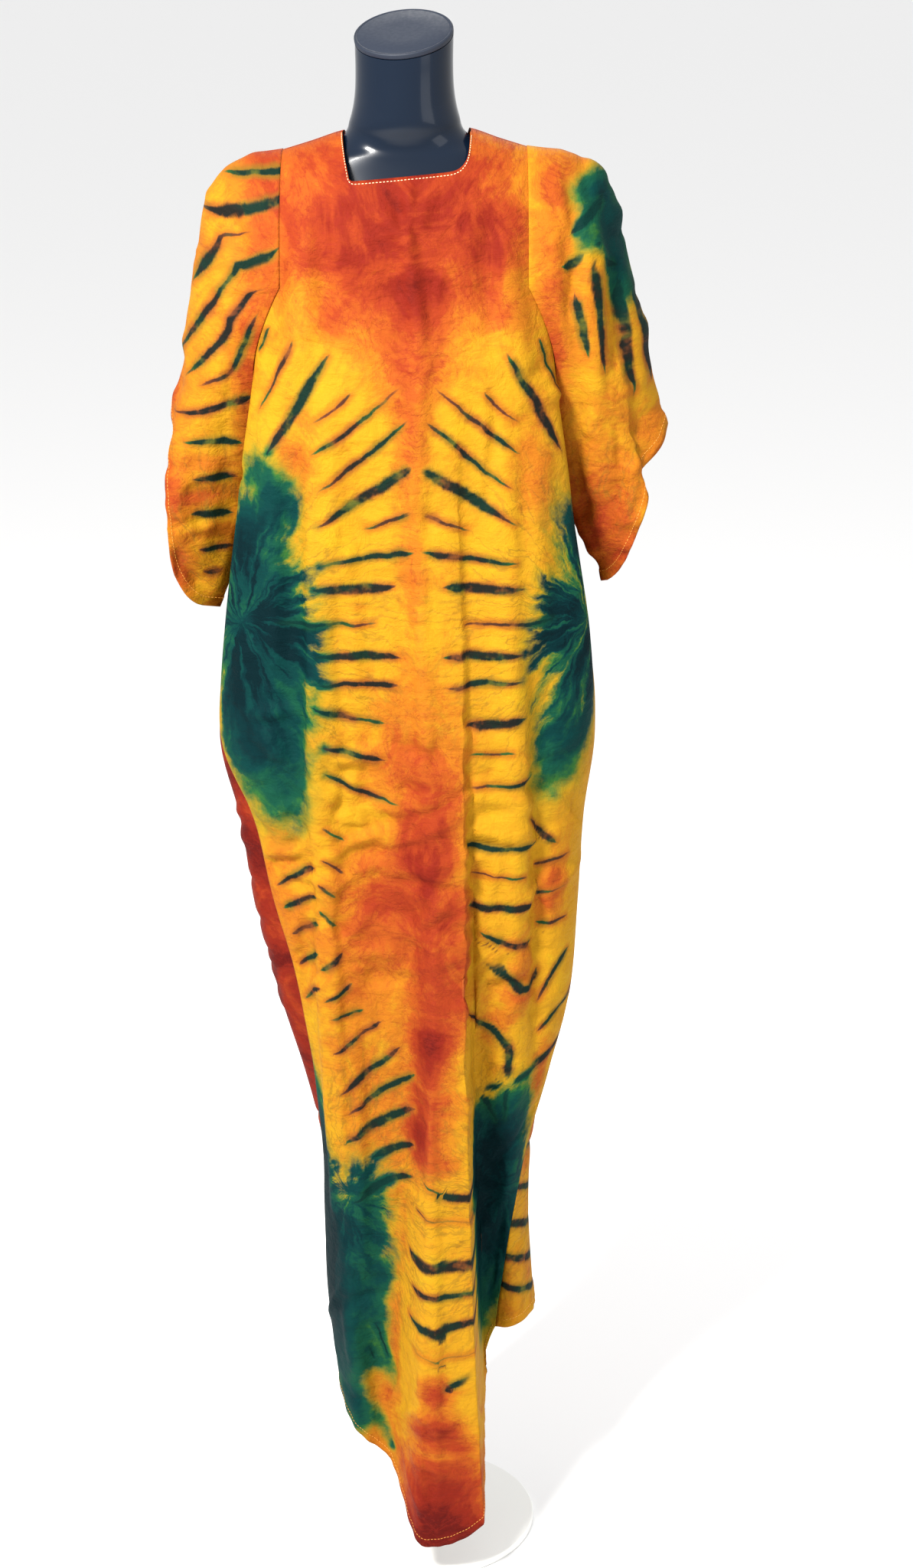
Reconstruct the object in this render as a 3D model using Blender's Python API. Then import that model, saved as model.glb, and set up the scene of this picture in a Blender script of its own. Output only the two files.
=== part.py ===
"""A long loose house dress, worn by a limbless dress form on a pole and a round foot.

Metres, +Z up, the front facing -Y and the wearer's right at -X. The origin is on the floor, under the middle of the
whole object's bounding box. The dress is cut from a front, a back and two wide sleeves, each a wall of cloth. Its
body is a stack of level sections: a squared oval, wider or narrower at each height, with the folds added to it.
"""

from math import pi, radians

import bmesh
import bpy
import numpy as np
from mathutils import Matrix, Vector

# Cloth
WALL = 0.002
SEAM_GAP = 0.0003
SQUARENESS = 3.0
# The front's and the back's own folds fade out this far from the middle plane
FOLD_FADE = 0.030

# Heights of the dress's body
UNDERARM_Z = 1.190
CHEST_Z = 1.400

# The bounding box's middle, in the frame that the tables below use
MIDDLE_X = 0.011
MIDDLE_Y = -0.001

# Half widths to each side and depths to the front and back, level by level
BODY_COLUMNS = ("z", "left", "right", "front", "back")
BODY = (
    (0.040, 0.060, 0.140, 0.078, 0.092),
    (0.140, 0.072, 0.140, 0.079, 0.098),
    (0.220, 0.083, 0.140, 0.080, 0.102),
    (0.300, 0.091, 0.133, 0.082, 0.104),
    (0.400, 0.094, 0.128, 0.085, 0.106),
    (0.480, 0.097, 0.132, 0.088, 0.108),
    (0.560, 0.111, 0.149, 0.092, 0.111),
    (0.650, 0.136, 0.170, 0.099, 0.116),
    (0.750, 0.160, 0.177, 0.107, 0.121),
    (0.850, 0.174, 0.182, 0.113, 0.126),
    (0.940, 0.194, 0.192, 0.118, 0.128),
    (1.000, 0.187, 0.189, 0.120, 0.126),
    (1.060, 0.172, 0.176, 0.121, 0.119),
    (1.130, 0.158, 0.160, 0.121, 0.112),
    (1.190, 0.148, 0.149, 0.121, 0.108),
    (1.290, 0.142, 0.142, 0.119, 0.104),
    (1.400, 0.150, 0.150, 0.098, 0.098),
)

# The seam that joins the front to the back lies this far round towards the front, in degrees, over a groove
SEAM_COLUMNS = ("z", "left", "right", "left_groove", "right_groove")
SEAM = (
    (0.100, 2.0, 57.0, 0.000, 0.002),
    (0.220, 4.0, 58.0, 0.002, 0.002),
    (0.350, 8.0, 45.0, 0.004, 0.002),
    (0.450, 14.0, 28.0, 0.006, 0.002),
    (0.520, 24.0, 15.0, 0.007, 0.002),
    (0.600, 38.0, 8.0, 0.009, 0.003),
    (0.700, 44.0, 4.0, 0.011, 0.002),
    (0.800, 36.0, 3.0, 0.012, 0.002),
    (0.880, 30.0, 2.0, 0.010, 0.002),
    (0.960, 14.0, 1.0, 0.006, 0.001),
    (1.050, 3.0, 0.0, 0.002, 0.000),
    (1.190, 0.0, 0.0, 0.000, 0.000),
)
GROOVE_WIDTH = 7.0
GROOVE_BEHIND = 8.0

# The deep pleat down the middle of the front: a soft left edge, a sharp right edge and a recess beside it
# The last two columns are the shares of the front's points that lie left of its edge and left of its foot
PLEAT_COLUMNS = ("z", "left", "right", "height", "recess", "edge_share", "foot_share")
PLEAT = (
    (0.040, -0.004, 0.086, 0.058, 0.040, 0.62, 0.86),
    (0.250, -0.002, 0.075, 0.055, 0.045, 0.62, 0.86),
    (0.450, 0.006, 0.068, 0.046, 0.034, 0.60, 0.82),
    (0.620, 0.012, 0.064, 0.032, 0.014, 0.58, 0.76),
    (0.800, 0.014, 0.062, 0.018, 0.004, 0.57, 0.69),
    (1.000, 0.012, 0.060, 0.009, 0.000, 0.56, 0.63),
    (1.180, 0.010, 0.055, 0.003, 0.000, 0.56, 0.60),
    (1.300, 0.010, 0.050, 0.000, 0.000, 0.56, 0.59),
)
PLEAT_SOFT = 0.034
PLEAT_SHARP = 0.009
RECESS_WIDTH = 0.045

# Soft ridges (positive) and troughs (negative) that run down the front and the back
FRONT_FOLDS_COLUMNS = ("x_top", "x_bottom", "z_top", "z_bottom", "width", "height")
FRONT_FOLDS = (
    (-0.104, -0.062, 1.360, 0.150, 0.016, 0.007),
    (-0.128, -0.082, 1.200, 0.300, 0.014, -0.006),
    (-0.045, -0.026, 1.250, 0.080, 0.020, -0.005),
    (0.104, 0.112, 1.350, 0.700, 0.018, 0.006),
    (0.135, 0.128, 1.250, 0.700, 0.012, -0.006),
)
BACK_FOLDS_COLUMNS = FRONT_FOLDS_COLUMNS
BACK_FOLDS = (
    (-0.125, -0.062, 1.250, 0.120, 0.016, 0.016),
    (-0.080, -0.034, 1.150, 0.120, 0.014, -0.012),
    (-0.030, -0.004, 1.300, 0.120, 0.020, 0.012),
    (0.030, 0.026, 1.050, 0.120, 0.015, -0.013),
    (0.072, 0.058, 1.220, 0.120, 0.018, 0.017),
    (0.118, 0.088, 1.100, 0.120, 0.014, -0.010),
)

# The step at the edge of the second fold, to the right of the pleat
STEP_COLUMNS = ("z", "x", "drop")
STEP = (
    (0.560, 0.128, 0.000),
    (0.700, 0.127, 0.012),
    (0.850, 0.124, 0.016),
    (0.960, 0.121, 0.010),
    (1.060, 0.120, 0.000),
)
STEP_SHARP = 0.007
STEP_FADE = 0.060

# The front's fullness rolls out in front of each sleeve
ROLL_COLUMNS = ("z", "depth", "left_out", "right_out")
ROLL = (
    (0.880, 0.070, 0.000, 0.000),
    (0.980, 0.072, 0.006, 0.006),
    (1.060, 0.074, 0.020, 0.018),
    (1.130, 0.076, 0.026, 0.024),
    (1.200, 0.077, 0.028, 0.026),
    (1.290, 0.078, 0.020, 0.019),
    (1.360, 0.076, 0.007, 0.007),
    (1.400, 0.075, 0.000, 0.000),
)
ROLL_WIDTH = 0.026

# Height of the hem, by the share of the way across each panel, in the direction of its columns
HEM_COLUMNS = ("share", "z")
FRONT_HEM = (
    (0.00, 0.198),
    (0.10, 0.170),
    (0.20, 0.140),
    (0.30, 0.098),
    (0.36, 0.070),
    (0.41, 0.055),
    (0.47, 0.050),
    (0.55, 0.058),
    (0.62, 0.078),
    (0.70, 0.124),
    (0.86, 0.205),
    (1.00, 0.262),
)
BACK_HEM = ((0.00, 0.262), (0.10, 0.274), (0.20, 0.276), (0.35, 0.254), (0.70, 0.232), (1.00, 0.198))

# Armholes, on either side of the shoulder
ARMHOLE_X = 0.121
ARMHOLE_CURVE = 1.35

# The line of the shoulders, from the left armhole to the right one
SHOULDER_COLUMNS = ("x", "z")
SHOULDER = (
    (-0.121, 1.519),
    (-0.091, 1.528),
    (-0.060, 1.538),
    (0.000, 1.546),
    (0.064, 1.540),
    (0.091, 1.531),
    (0.121, 1.522),
)
FRONT_FULLNESS = 2.0
BACK_FULLNESS = 3.0

# The neckline: corners from the left side round to the right, each with its radius
NECKLINE_COLUMNS = ("x", "z", "radius")
FRONT_NECKLINE = ((-0.0600, 1.5380, 0.0), (-0.0525, 1.4985, 0.006), (0.0600, 1.5085, 0.022), (0.0640, 1.5400, 0.0))
BACK_NECKLINE = ((-0.0600, 1.5380, 0.0), (-0.0540, 1.5170, 0.016), (0.0580, 1.5180, 0.016), (0.0640, 1.5400, 0.0))
FRONT_NECKLINE_SHARE = (0.18, 0.75)
BACK_NECKLINE_SHARE = (0.25, 0.75)
CORNER_POINTS = 9
NECKLINE_POINTS = 61

# How finely the cloth is divided
SKIRT_ROWS = 17
ARMHOLE_ROWS = 6
SHOULDER_ROWS = 6
FRONT_POINTS = 41
BACK_POINTS = 27
CORNER_WEIGHT = 0.010

# Sleeves: the top and bottom line, the half depth and the outward bulge, from the armhole to the cuff
SLEEVE_COLUMNS = ("top_x", "top_z", "bottom_x", "bottom_z", "depth", "bulge", "notch")
SLEEVE_RIGHT = (
    (0.1210, 1.519, 0.1500, 1.190, 0.078, 0.000, 0.000),
    (0.1500, 1.514, 0.1540, 1.178, 0.074, 0.002, 0.000),
    (0.1720, 1.504, 0.1580, 1.165, 0.068, 0.005, 0.000),
    (0.1850, 1.488, 0.1620, 1.150, 0.062, 0.010, 0.000),
    (0.1950, 1.453, 0.1665, 1.134, 0.057, 0.015, 0.000),
    (0.2050, 1.408, 0.1715, 1.116, 0.052, 0.020, 0.000),
    (0.2140, 1.360, 0.1770, 1.098, 0.048, 0.025, 0.001),
    (0.2230, 1.312, 0.1830, 1.080, 0.045, 0.030, 0.003),
    (0.2340, 1.268, 0.1900, 1.063, 0.042, 0.033, 0.007),
)
SLEEVE_LEFT = (
    (0.1210, 1.522, 0.1510, 1.190, 0.078, 0.000, 0.000),
    (0.1500, 1.518, 0.1555, 1.180, 0.074, 0.002, 0.000),
    (0.1800, 1.511, 0.1600, 1.170, 0.068, 0.005, 0.000),
    (0.1965, 1.497, 0.1650, 1.158, 0.062, 0.009, 0.000),
    (0.2070, 1.466, 0.1700, 1.146, 0.057, 0.012, 0.001),
    (0.2190, 1.420, 0.1760, 1.132, 0.052, 0.013, 0.003),
    (0.2300, 1.368, 0.1820, 1.118, 0.048, 0.013, 0.006),
    (0.2420, 1.308, 0.1890, 1.104, 0.045, 0.012, 0.011),
    (0.2600, 1.252, 0.1960, 1.090, 0.042, 0.011, 0.017),
)
SLEEVE_GAP = 0.0006
UNDERARM_GAP = 0.0012
# The sleeve's cloth is butted to the armhole below LAP_RISE and lapped on it above
LAP_RISE = 0.45
LAP_WIDTH = 0.5
UNDERARM_RISE = 0.1
UNDERARM_WIDTH = 0.2
# The share of the sleeve's length over which it leaves the armhole's own line
SLEEVE_START = 0.5
CUFF_BACK_LONGER = 0.011
CUFF_BACK_OUT = 0.1
TUBE_FLATNESS = 0.62
# The cuff's line is fullest low down, and has a shallow notch this far up it
BULGE_LOWNESS = 0.45
NOTCH_RISE = {"sleeve_right": 0.88, "sleeve_left": 0.74}
NOTCH_WIDTH = 0.10

# Dress form: half width, and depth to the front and the back
FORM_COLUMNS = ("z", "half_width", "front", "back", "tilt", "roll")
FORM = (
    (0.775, 0.140, 0.082, 0.098, 0.0, 0.0),
    (0.800, 0.158, 0.090, 0.108, 0.0, 0.0),
    (0.850, 0.167, 0.095, 0.115, 0.0, 0.0),
    (0.910, 0.170, 0.096, 0.117, 0.0, 0.0),
    (0.980, 0.160, 0.092, 0.108, 0.0, 0.0),
    (1.050, 0.143, 0.086, 0.092, 0.0, 0.0),
    (1.120, 0.131, 0.084, 0.082, 0.0, 0.0),
    (1.190, 0.128, 0.093, 0.082, 0.0, 0.0),
    (1.260, 0.130, 0.107, 0.086, 0.0, 0.0),
    (1.310, 0.134, 0.110, 0.089, 0.0, 0.0),
    (1.360, 0.144, 0.098, 0.090, 0.0, 0.0),
    (1.400, 0.154, 0.084, 0.088, 0.0, 0.0),
    (1.440, 0.162, 0.072, 0.080, 0.0, 0.0),
    (1.470, 0.163, 0.060, 0.070, 0.0, 0.0),
    (1.495, 0.158, 0.048, 0.059, 0.0, 0.0),
    (1.508, 0.146, 0.042, 0.053, 0.0, 0.0),
    (1.517, 0.116, 0.040, 0.050, 0.0, 0.0),
    (1.526, 0.077, 0.034, 0.042, 1.0, 0.0),
    (1.536, 0.059, 0.038, 0.046, 3.0, 1.0),
    (1.550, 0.053, 0.044, 0.051, 6.0, 2.0),
    (1.570, 0.0485, 0.045, 0.050, 11.0, 3.0),
    (1.600, 0.0470, 0.046, 0.049, 17.0, 5.0),
    (1.626, 0.0475, 0.0475, 0.0475, 21.0, 6.0),
)
FORM_POINTS = 28
CAP_THICKNESS = 0.006
CAP_RADIUS = 0.0478
CAP_EDGE = 0.001

POLE_RADIUS = 0.0125
FOOT_RADIUS = 0.125
FOOT_THICKNESS = 0.009
FOOT_EDGE = 0.002
STAND_Y = 0.006
TOUCH_GAP = 0.0003
CAP_POINTS = 32
FOOT_POINTS = 48
POLE_POINTS = 24


def column(table, columns, name):
    """One named column of a table, as an array."""
    return np.array([row[columns.index(name)] for row in table], dtype=float)


def smooth(value, places, values):
    """Values between the rows of a table, along a smooth curve that doesn't overshoot."""
    steps = np.diff(places)
    slopes = np.diff(values) / steps
    tangents = np.concatenate(([slopes[0]], (slopes[:-1] + slopes[1:]) / 2, [slopes[-1]]))
    flat = slopes[:-1] * slopes[1:] <= 0
    tangents[1:-1][flat] = 0
    value = np.clip(value, places[0], places[-1])
    index = np.clip(np.searchsorted(places, value, side="right") - 1, 0, len(steps) - 1)
    step = steps[index]
    part = (value - places[index]) / step
    return (
        values[index] * (1 + 2 * part) * (1 - part) ** 2
        + tangents[index] * step * part * (1 - part) ** 2
        + values[index + 1] * part**2 * (3 - 2 * part)
        + tangents[index + 1] * step * part**2 * (part - 1)
    )


def at(table, columns, name, place):
    """A table's named column at a place along its first column."""
    return smooth(place, column(table, columns, columns[0]), column(table, columns, name))


def ramp(value):
    """Rises smoothly from 0 at -1/2 to 1 at +1/2."""
    part = np.clip(value + 0.5, 0, 1)
    return part * part * (3 - 2 * part)


def bell(value):
    return np.exp(-value * value)


def running_folds(x, z, table):
    """The height of the folds that run down a panel, at one level."""
    total = np.zeros_like(x)
    for x_top, x_bottom, z_top, z_bottom, width, height in table:
        down = (z_top - z) / (z_top - z_bottom)
        if down > 0:
            middle = x_top + (x_bottom - x_top) * min(down, 1)
            grown = height * ramp(min(down * 1.6, 1) - 0.5)
            total += grown * bell((x - middle) / width)
    return total


def level_section(z, angles):
    """The dress's outer outline at a height: angle 0 is at +X, and 270 degrees is the front."""
    across, along = np.cos(angles), np.sin(angles)
    power = 2 / SQUARENESS
    side = np.where(across < 0, at(BODY, BODY_COLUMNS, "left", z), at(BODY, BODY_COLUMNS, "right", z))
    deep = np.where(along < 0, at(BODY, BODY_COLUMNS, "front", z), at(BODY, BODY_COLUMNS, "back", z))
    x = side * np.sign(across) * np.abs(across) ** power
    y = deep * np.sign(along) * np.abs(along) ** power
    front = ramp(-y / FOLD_FADE)
    back = ramp(y / FOLD_FADE)

    pleat = {name: at(PLEAT, PLEAT_COLUMNS, name, z) for name in PLEAT_COLUMNS}
    inside = ramp((x - pleat["left"]) / PLEAT_SOFT) * ramp((pleat["right"] - x) / PLEAT_SHARP)
    beside = ramp((x - pleat["right"]) / PLEAT_SHARP) * bell((x - pleat["right"]) / RECESS_WIDTH)
    step_x = at(STEP, STEP_COLUMNS, "x", z)
    step = ramp((x - step_x) / STEP_SHARP) * np.exp(-np.clip(x - step_x, 0, None) / STEP_FADE)
    y = y - front * (
        pleat["height"] * inside
        - pleat["recess"] * beside
        - at(STEP, STEP_COLUMNS, "drop", z) * step
        + running_folds(x, z, FRONT_FOLDS)
    )
    y = y + back * running_folds(x, z, BACK_FOLDS)

    rolled = bell((y + at(ROLL, ROLL_COLUMNS, "depth", z)) / ROLL_WIDTH) * ramp(-along * 2)
    x = x - rolled * at(ROLL, ROLL_COLUMNS, "left_out", z) * ramp(-across * 2)
    x = x + rolled * at(ROLL, ROLL_COLUMNS, "right_out", z) * ramp(across * 2)

    turned = np.degrees(angles) % 360
    left_from_seam = turned - (180 + at(SEAM, SEAM_COLUMNS, "left", z)) + GROOVE_BEHIND
    right_from_seam = (turned + 180) % 360 - 180 + at(SEAM, SEAM_COLUMNS, "right", z) - GROOVE_BEHIND
    sunk = at(SEAM, SEAM_COLUMNS, "left_groove", z) * bell(left_from_seam / GROOVE_WIDTH)
    sunk = sunk + at(SEAM, SEAM_COLUMNS, "right_groove", z) * bell(right_from_seam / GROOVE_WIDTH)
    inward = 1 - sunk / np.hypot(x, y)
    return np.stack([x * inward, y * inward], axis=-1)


LEVEL_STEP = 0.010
ANGLES = np.linspace(0, 2 * pi, 1080, endpoint=False)
FINE_STEPS = 700
NORMAL_STEP = 0.002
LEVELS = np.arange(0.040, CHEST_Z + LEVEL_STEP / 2, LEVEL_STEP)


def body_surface():
    """The dress's body up to the chest, as a dense grid of points and outward normals, level by level."""
    rings = np.array([level_section(z, ANGLES) for z in LEVELS])
    points = np.concatenate([rings, np.broadcast_to(LEVELS[:, None, None], rings.shape[:2] + (1,))], axis=2)
    around = np.roll(points, -1, axis=1) - np.roll(points, 1, axis=1)
    up = np.gradient(points, axis=0)
    normals = np.cross(around, up)
    return points, normals / np.linalg.norm(normals, axis=2, keepdims=True)


def look_up(grid, angle, z):
    """A dense grid's value at an angle and a height."""
    column_place = (angle / (2 * pi) * len(ANGLES)) % len(ANGLES)
    level_place = np.clip((z - LEVELS[0]) / LEVEL_STEP, 0, len(LEVELS) - 1)
    c0 = np.floor(column_place).astype(int) % len(ANGLES)
    l0 = np.minimum(np.floor(level_place).astype(int), len(LEVELS) - 2)
    c_part = (column_place - np.floor(column_place))[..., None]
    l_part = (level_place - l0)[..., None]
    c1 = (c0 + 1) % len(ANGLES)
    low = grid[l0, c0] * (1 - c_part) + grid[l0, c1] * c_part
    high = grid[l0 + 1, c0] * (1 - c_part) + grid[l0 + 1, c1] * c_part
    return low * (1 - l_part) + high * l_part


def chest_angle(x_side, front):
    """The angle at which the chest's section reaches an armhole's distance to the side."""
    angles = np.linspace(pi, (1.5 if front else 0.5) * pi, FINE_STEPS)
    section = level_section(CHEST_Z, angles)
    reach = np.interp(-ARMHOLE_X, section[:, 0], np.arange(len(angles)))
    angle = np.interp(reach, np.arange(len(angles)), angles)
    return angle if x_side < 0 else pi - angle


def panel_ends(z, front):
    """The angles where a panel starts and ends at a height, at its side seams or its armholes."""
    sides = []
    for side, name in ((-1, "left"), (1, "right")):
        if z <= UNDERARM_Z:
            forward = radians(float(at(SEAM, SEAM_COLUMNS, name, z)))
            sides.append(pi + forward if side < 0 else 2 * pi - forward)
            continue
        risen = (z - UNDERARM_Z) / (CHEST_Z - UNDERARM_Z)
        opened = min(risen, 1) ** ARMHOLE_CURVE
        if side < 0:
            sides.append(pi + (chest_angle(side, front) - pi) * opened)
        else:
            closing = chest_angle(side, front)
            closing = closing % (2 * pi) if front else closing
            closed = 2 * pi if front else 0
            sides.append(closed + (closing - closed) * opened)
    left, right = sides
    if front:
        return left, right
    right = right - 2 * pi if right > pi else right
    return right, left


def share_angles(surface, z, front, count):
    """Angles that divide a panel at a height evenly, with more points where the cloth turns."""
    start, end = panel_ends(z, front)
    angles = np.linspace(start, end, FINE_STEPS)
    points = look_up(surface, angles, np.full(angles.shape, z))
    moves = np.diff(points[:, :2], axis=0)
    lengths = np.linalg.norm(moves, axis=1)
    headings = np.unwrap(np.arctan2(moves[:, 1], moves[:, 0]))
    turns = np.abs(np.diff(headings, prepend=headings[0]))
    measure = np.concatenate(([0], np.cumsum(lengths + CORNER_WEIGHT * turns)))
    lengthwise = np.concatenate(([0], np.cumsum(lengths)))
    edge = np.interp([SEAM_GAP / 2, lengthwise[-1] - SEAM_GAP / 2], lengthwise, measure)
    shares = np.linspace(0, 1, count)
    if not front:
        return np.interp(edge[0] + (edge[1] - edge[0]) * shares, measure, angles)
    pleat_right = at(PLEAT, PLEAT_COLUMNS, "right", z)
    middle = np.abs(points[:, 0] - pleat_right) < PLEAT_SHARP * 3
    sides = np.interp([pleat_right - PLEAT_SHARP / 2, pleat_right + PLEAT_SHARP / 2], points[middle, 0], measure[middle])
    edge_share, foot_share = (at(PLEAT, PLEAT_COLUMNS, name, z) for name in ("edge_share", "foot_share"))
    wanted = np.interp(shares, (0, edge_share, foot_share, 1), (edge[0], *sides, edge[1]))
    return np.interp(wanted, measure, angles)


def rounded_path(table, count):
    """Points spaced evenly along straight lines between a table's corners, each corner rounded by its radius."""
    corners = [np.array(row[:2]) for row in table]
    path = [corners[0]]
    for before, (here, radius), after in zip(corners, zip(corners[1:-1], [r[2] for r in table[1:-1]]), corners[2:]):
        back = (before - here) / np.linalg.norm(before - here)
        on = (after - here) / np.linalg.norm(after - here)
        half = np.arccos(np.clip(back @ on, -1, 1)) / 2
        reach = min(radius / np.tan(half), np.linalg.norm(before - here) / 2)
        for part in np.linspace(0, 1, CORNER_POINTS):
            path.append(here + back * reach * (1 - part) ** 2 + on * reach * part**2)
    path.append(corners[-1])
    path = np.array(path)
    lengths = np.concatenate(([0], np.cumsum(np.linalg.norm(np.diff(path, axis=0), axis=1))))
    wanted = np.linspace(0, lengths[-1], count)
    return np.stack([np.interp(wanted, lengths, path[:, 0]), np.interp(wanted, lengths, path[:, 1])], axis=1)


def shoulder_z(x):
    return at(SHOULDER, SHOULDER_COLUMNS, "z", x)


def over_shoulder(x, risen, front):
    """A point on the cloth between the chest and the shoulder seam, and its outward normal."""
    fullness = FRONT_FULLNESS if front else BACK_FULLNESS
    forward = -1 if front else 1

    def place(px, pr):
        half = np.linspace(pi, 2 * pi if front else 0, FINE_STEPS)
        chest = level_section(CHEST_Z, half)
        chest_y = np.interp(px, chest[:, 0], chest[:, 1])
        seam_y = forward * SEAM_GAP / 2
        deep = np.clip(1 - pr**fullness, 0, 1) ** 0.5
        return np.stack([px, seam_y + (chest_y - seam_y) * deep, CHEST_Z + (shoulder_z(px) - CHEST_Z) * pr], axis=-1)

    point = place(x, risen)
    across = place(x + NORMAL_STEP, risen) - place(x - NORMAL_STEP, risen)
    up = place(x, np.minimum(risen + NORMAL_STEP, 1)) - place(x, np.maximum(risen - NORMAL_STEP, 0))
    normal = np.cross(across, up) * (1 if front else -1)
    return point, normal / np.linalg.norm(normal, axis=-1, keepdims=True)


def panel(surface, normals, front):
    """A panel's outer points and normals, rows from the hem to the shoulder and columns across."""
    count = FRONT_POINTS if front else BACK_POINTS
    hem_table = FRONT_HEM if front else BACK_HEM
    shares = np.linspace(0, 1, count)
    hem = at(hem_table, HEM_COLUMNS, "z", shares)
    by_level = np.array([share_angles(surface, z, front, count) for z in LEVELS])
    rows = []
    heights = [hem + (UNDERARM_Z - hem) * part for part in np.linspace(0, 1, SKIRT_ROWS + 1)]
    heights += [np.full(count, z) for z in np.linspace(UNDERARM_Z, CHEST_Z, ARMHOLE_ROWS + 1)[1:]]
    for z in heights:
        angles = np.array([np.interp(z[i], LEVELS, by_level[:, i]) for i in range(count)])
        rows.append((look_up(surface, angles, z), look_up(normals, angles, z)))
    chest_x = rows[-1][0][:, 0]
    neckline = rounded_path(FRONT_NECKLINE if front else BACK_NECKLINE, NECKLINE_POINTS)
    left_share, right_share = FRONT_NECKLINE_SHARE if front else BACK_NECKLINE_SHARE
    neck_shares = np.linspace(left_share, right_share, NECKLINE_POINTS)
    seam_x = column(SHOULDER, SHOULDER_COLUMNS, "x")
    share = shares if front else shares[::-1]
    top_x = np.interp(share, neck_shares, neckline[:, 0])
    top_z = np.interp(share, neck_shares, neckline[:, 1])
    start_x, end_x = sorted(chest_x[[0, -1]])
    on_left, on_right = share < left_share, share > right_share
    top_x[on_left] = np.interp(share[on_left], (0, left_share), (start_x, neckline[0, 0]))
    top_x[on_right] = np.interp(share[on_right], (right_share, 1), (neckline[-1, 0], end_x))
    shoulder = shoulder_z(top_x)
    on_seam = on_left | on_right
    top_z[on_seam] = shoulder[on_seam]
    full = np.clip((top_z - CHEST_Z) / (shoulder - CHEST_Z), 0, 1)
    for part in np.linspace(0, 1, SHOULDER_ROWS + 1)[1:]:
        x = chest_x * (1 - part) + top_x * part
        risen = np.sin(part * np.arcsin(full))
        rows.append(over_shoulder(x, risen, front))
    points = np.array([row[0] for row in rows])
    return points, np.array([row[1] for row in rows])


def wall_mesh(outer, inner, ring):
    """A closed wall between two grids of points. A ring's last column joins its first."""
    rows, count = outer.shape[:2]
    mesh = bmesh.new()
    skins = [[[mesh.verts.new(p) for p in row] for row in grid] for grid in (outer, inner)]
    out, back = skins
    last = count if ring else count - 1
    for r in range(rows - 1):
        for c in range(last):
            d = (c + 1) % count
            mesh.faces.new((out[r][c], out[r][d], out[r + 1][d], out[r + 1][c]))
            mesh.faces.new((back[r][c], back[r + 1][c], back[r + 1][d], back[r][d]))
    for c in range(last):
        d = (c + 1) % count
        mesh.faces.new((out[0][d], out[0][c], back[0][c], back[0][d]))
        mesh.faces.new((out[-1][c], out[-1][d], back[-1][d], back[-1][c]))
    if not ring:
        for r in range(rows - 1):
            mesh.faces.new((out[r][0], out[r + 1][0], back[r + 1][0], back[r][0]))
            mesh.faces.new((out[r + 1][-1], out[r][-1], back[r][-1], back[r + 1][-1]))
    bmesh.ops.recalc_face_normals(mesh, faces=mesh.faces)
    bmesh.ops.triangulate(mesh, faces=mesh.faces)
    return mesh


def material(name, colour, roughness):
    made = bpy.data.materials.new(name)
    made.use_nodes = True
    shader = made.node_tree.nodes["Principled BSDF"]
    shader.inputs["Base Color"].default_value = (*colour, 1)
    shader.inputs["Roughness"].default_value = roughness
    shader.inputs["Metallic"].default_value = 0.0
    return made


def add_object(name, mesh, finish):
    """Moves a bmesh from the tables' frame to the object's and adds it to the scene."""
    mesh.transform(Matrix.Translation((-MIDDLE_X, -MIDDLE_Y, 0)))
    data = bpy.data.meshes.new(name)
    mesh.to_mesh(data)
    mesh.free()
    data.materials.append(finish)
    data.shade_smooth()
    made = bpy.data.objects.new(name, data)
    bpy.context.scene.collection.objects.link(made)
    return made


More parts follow.
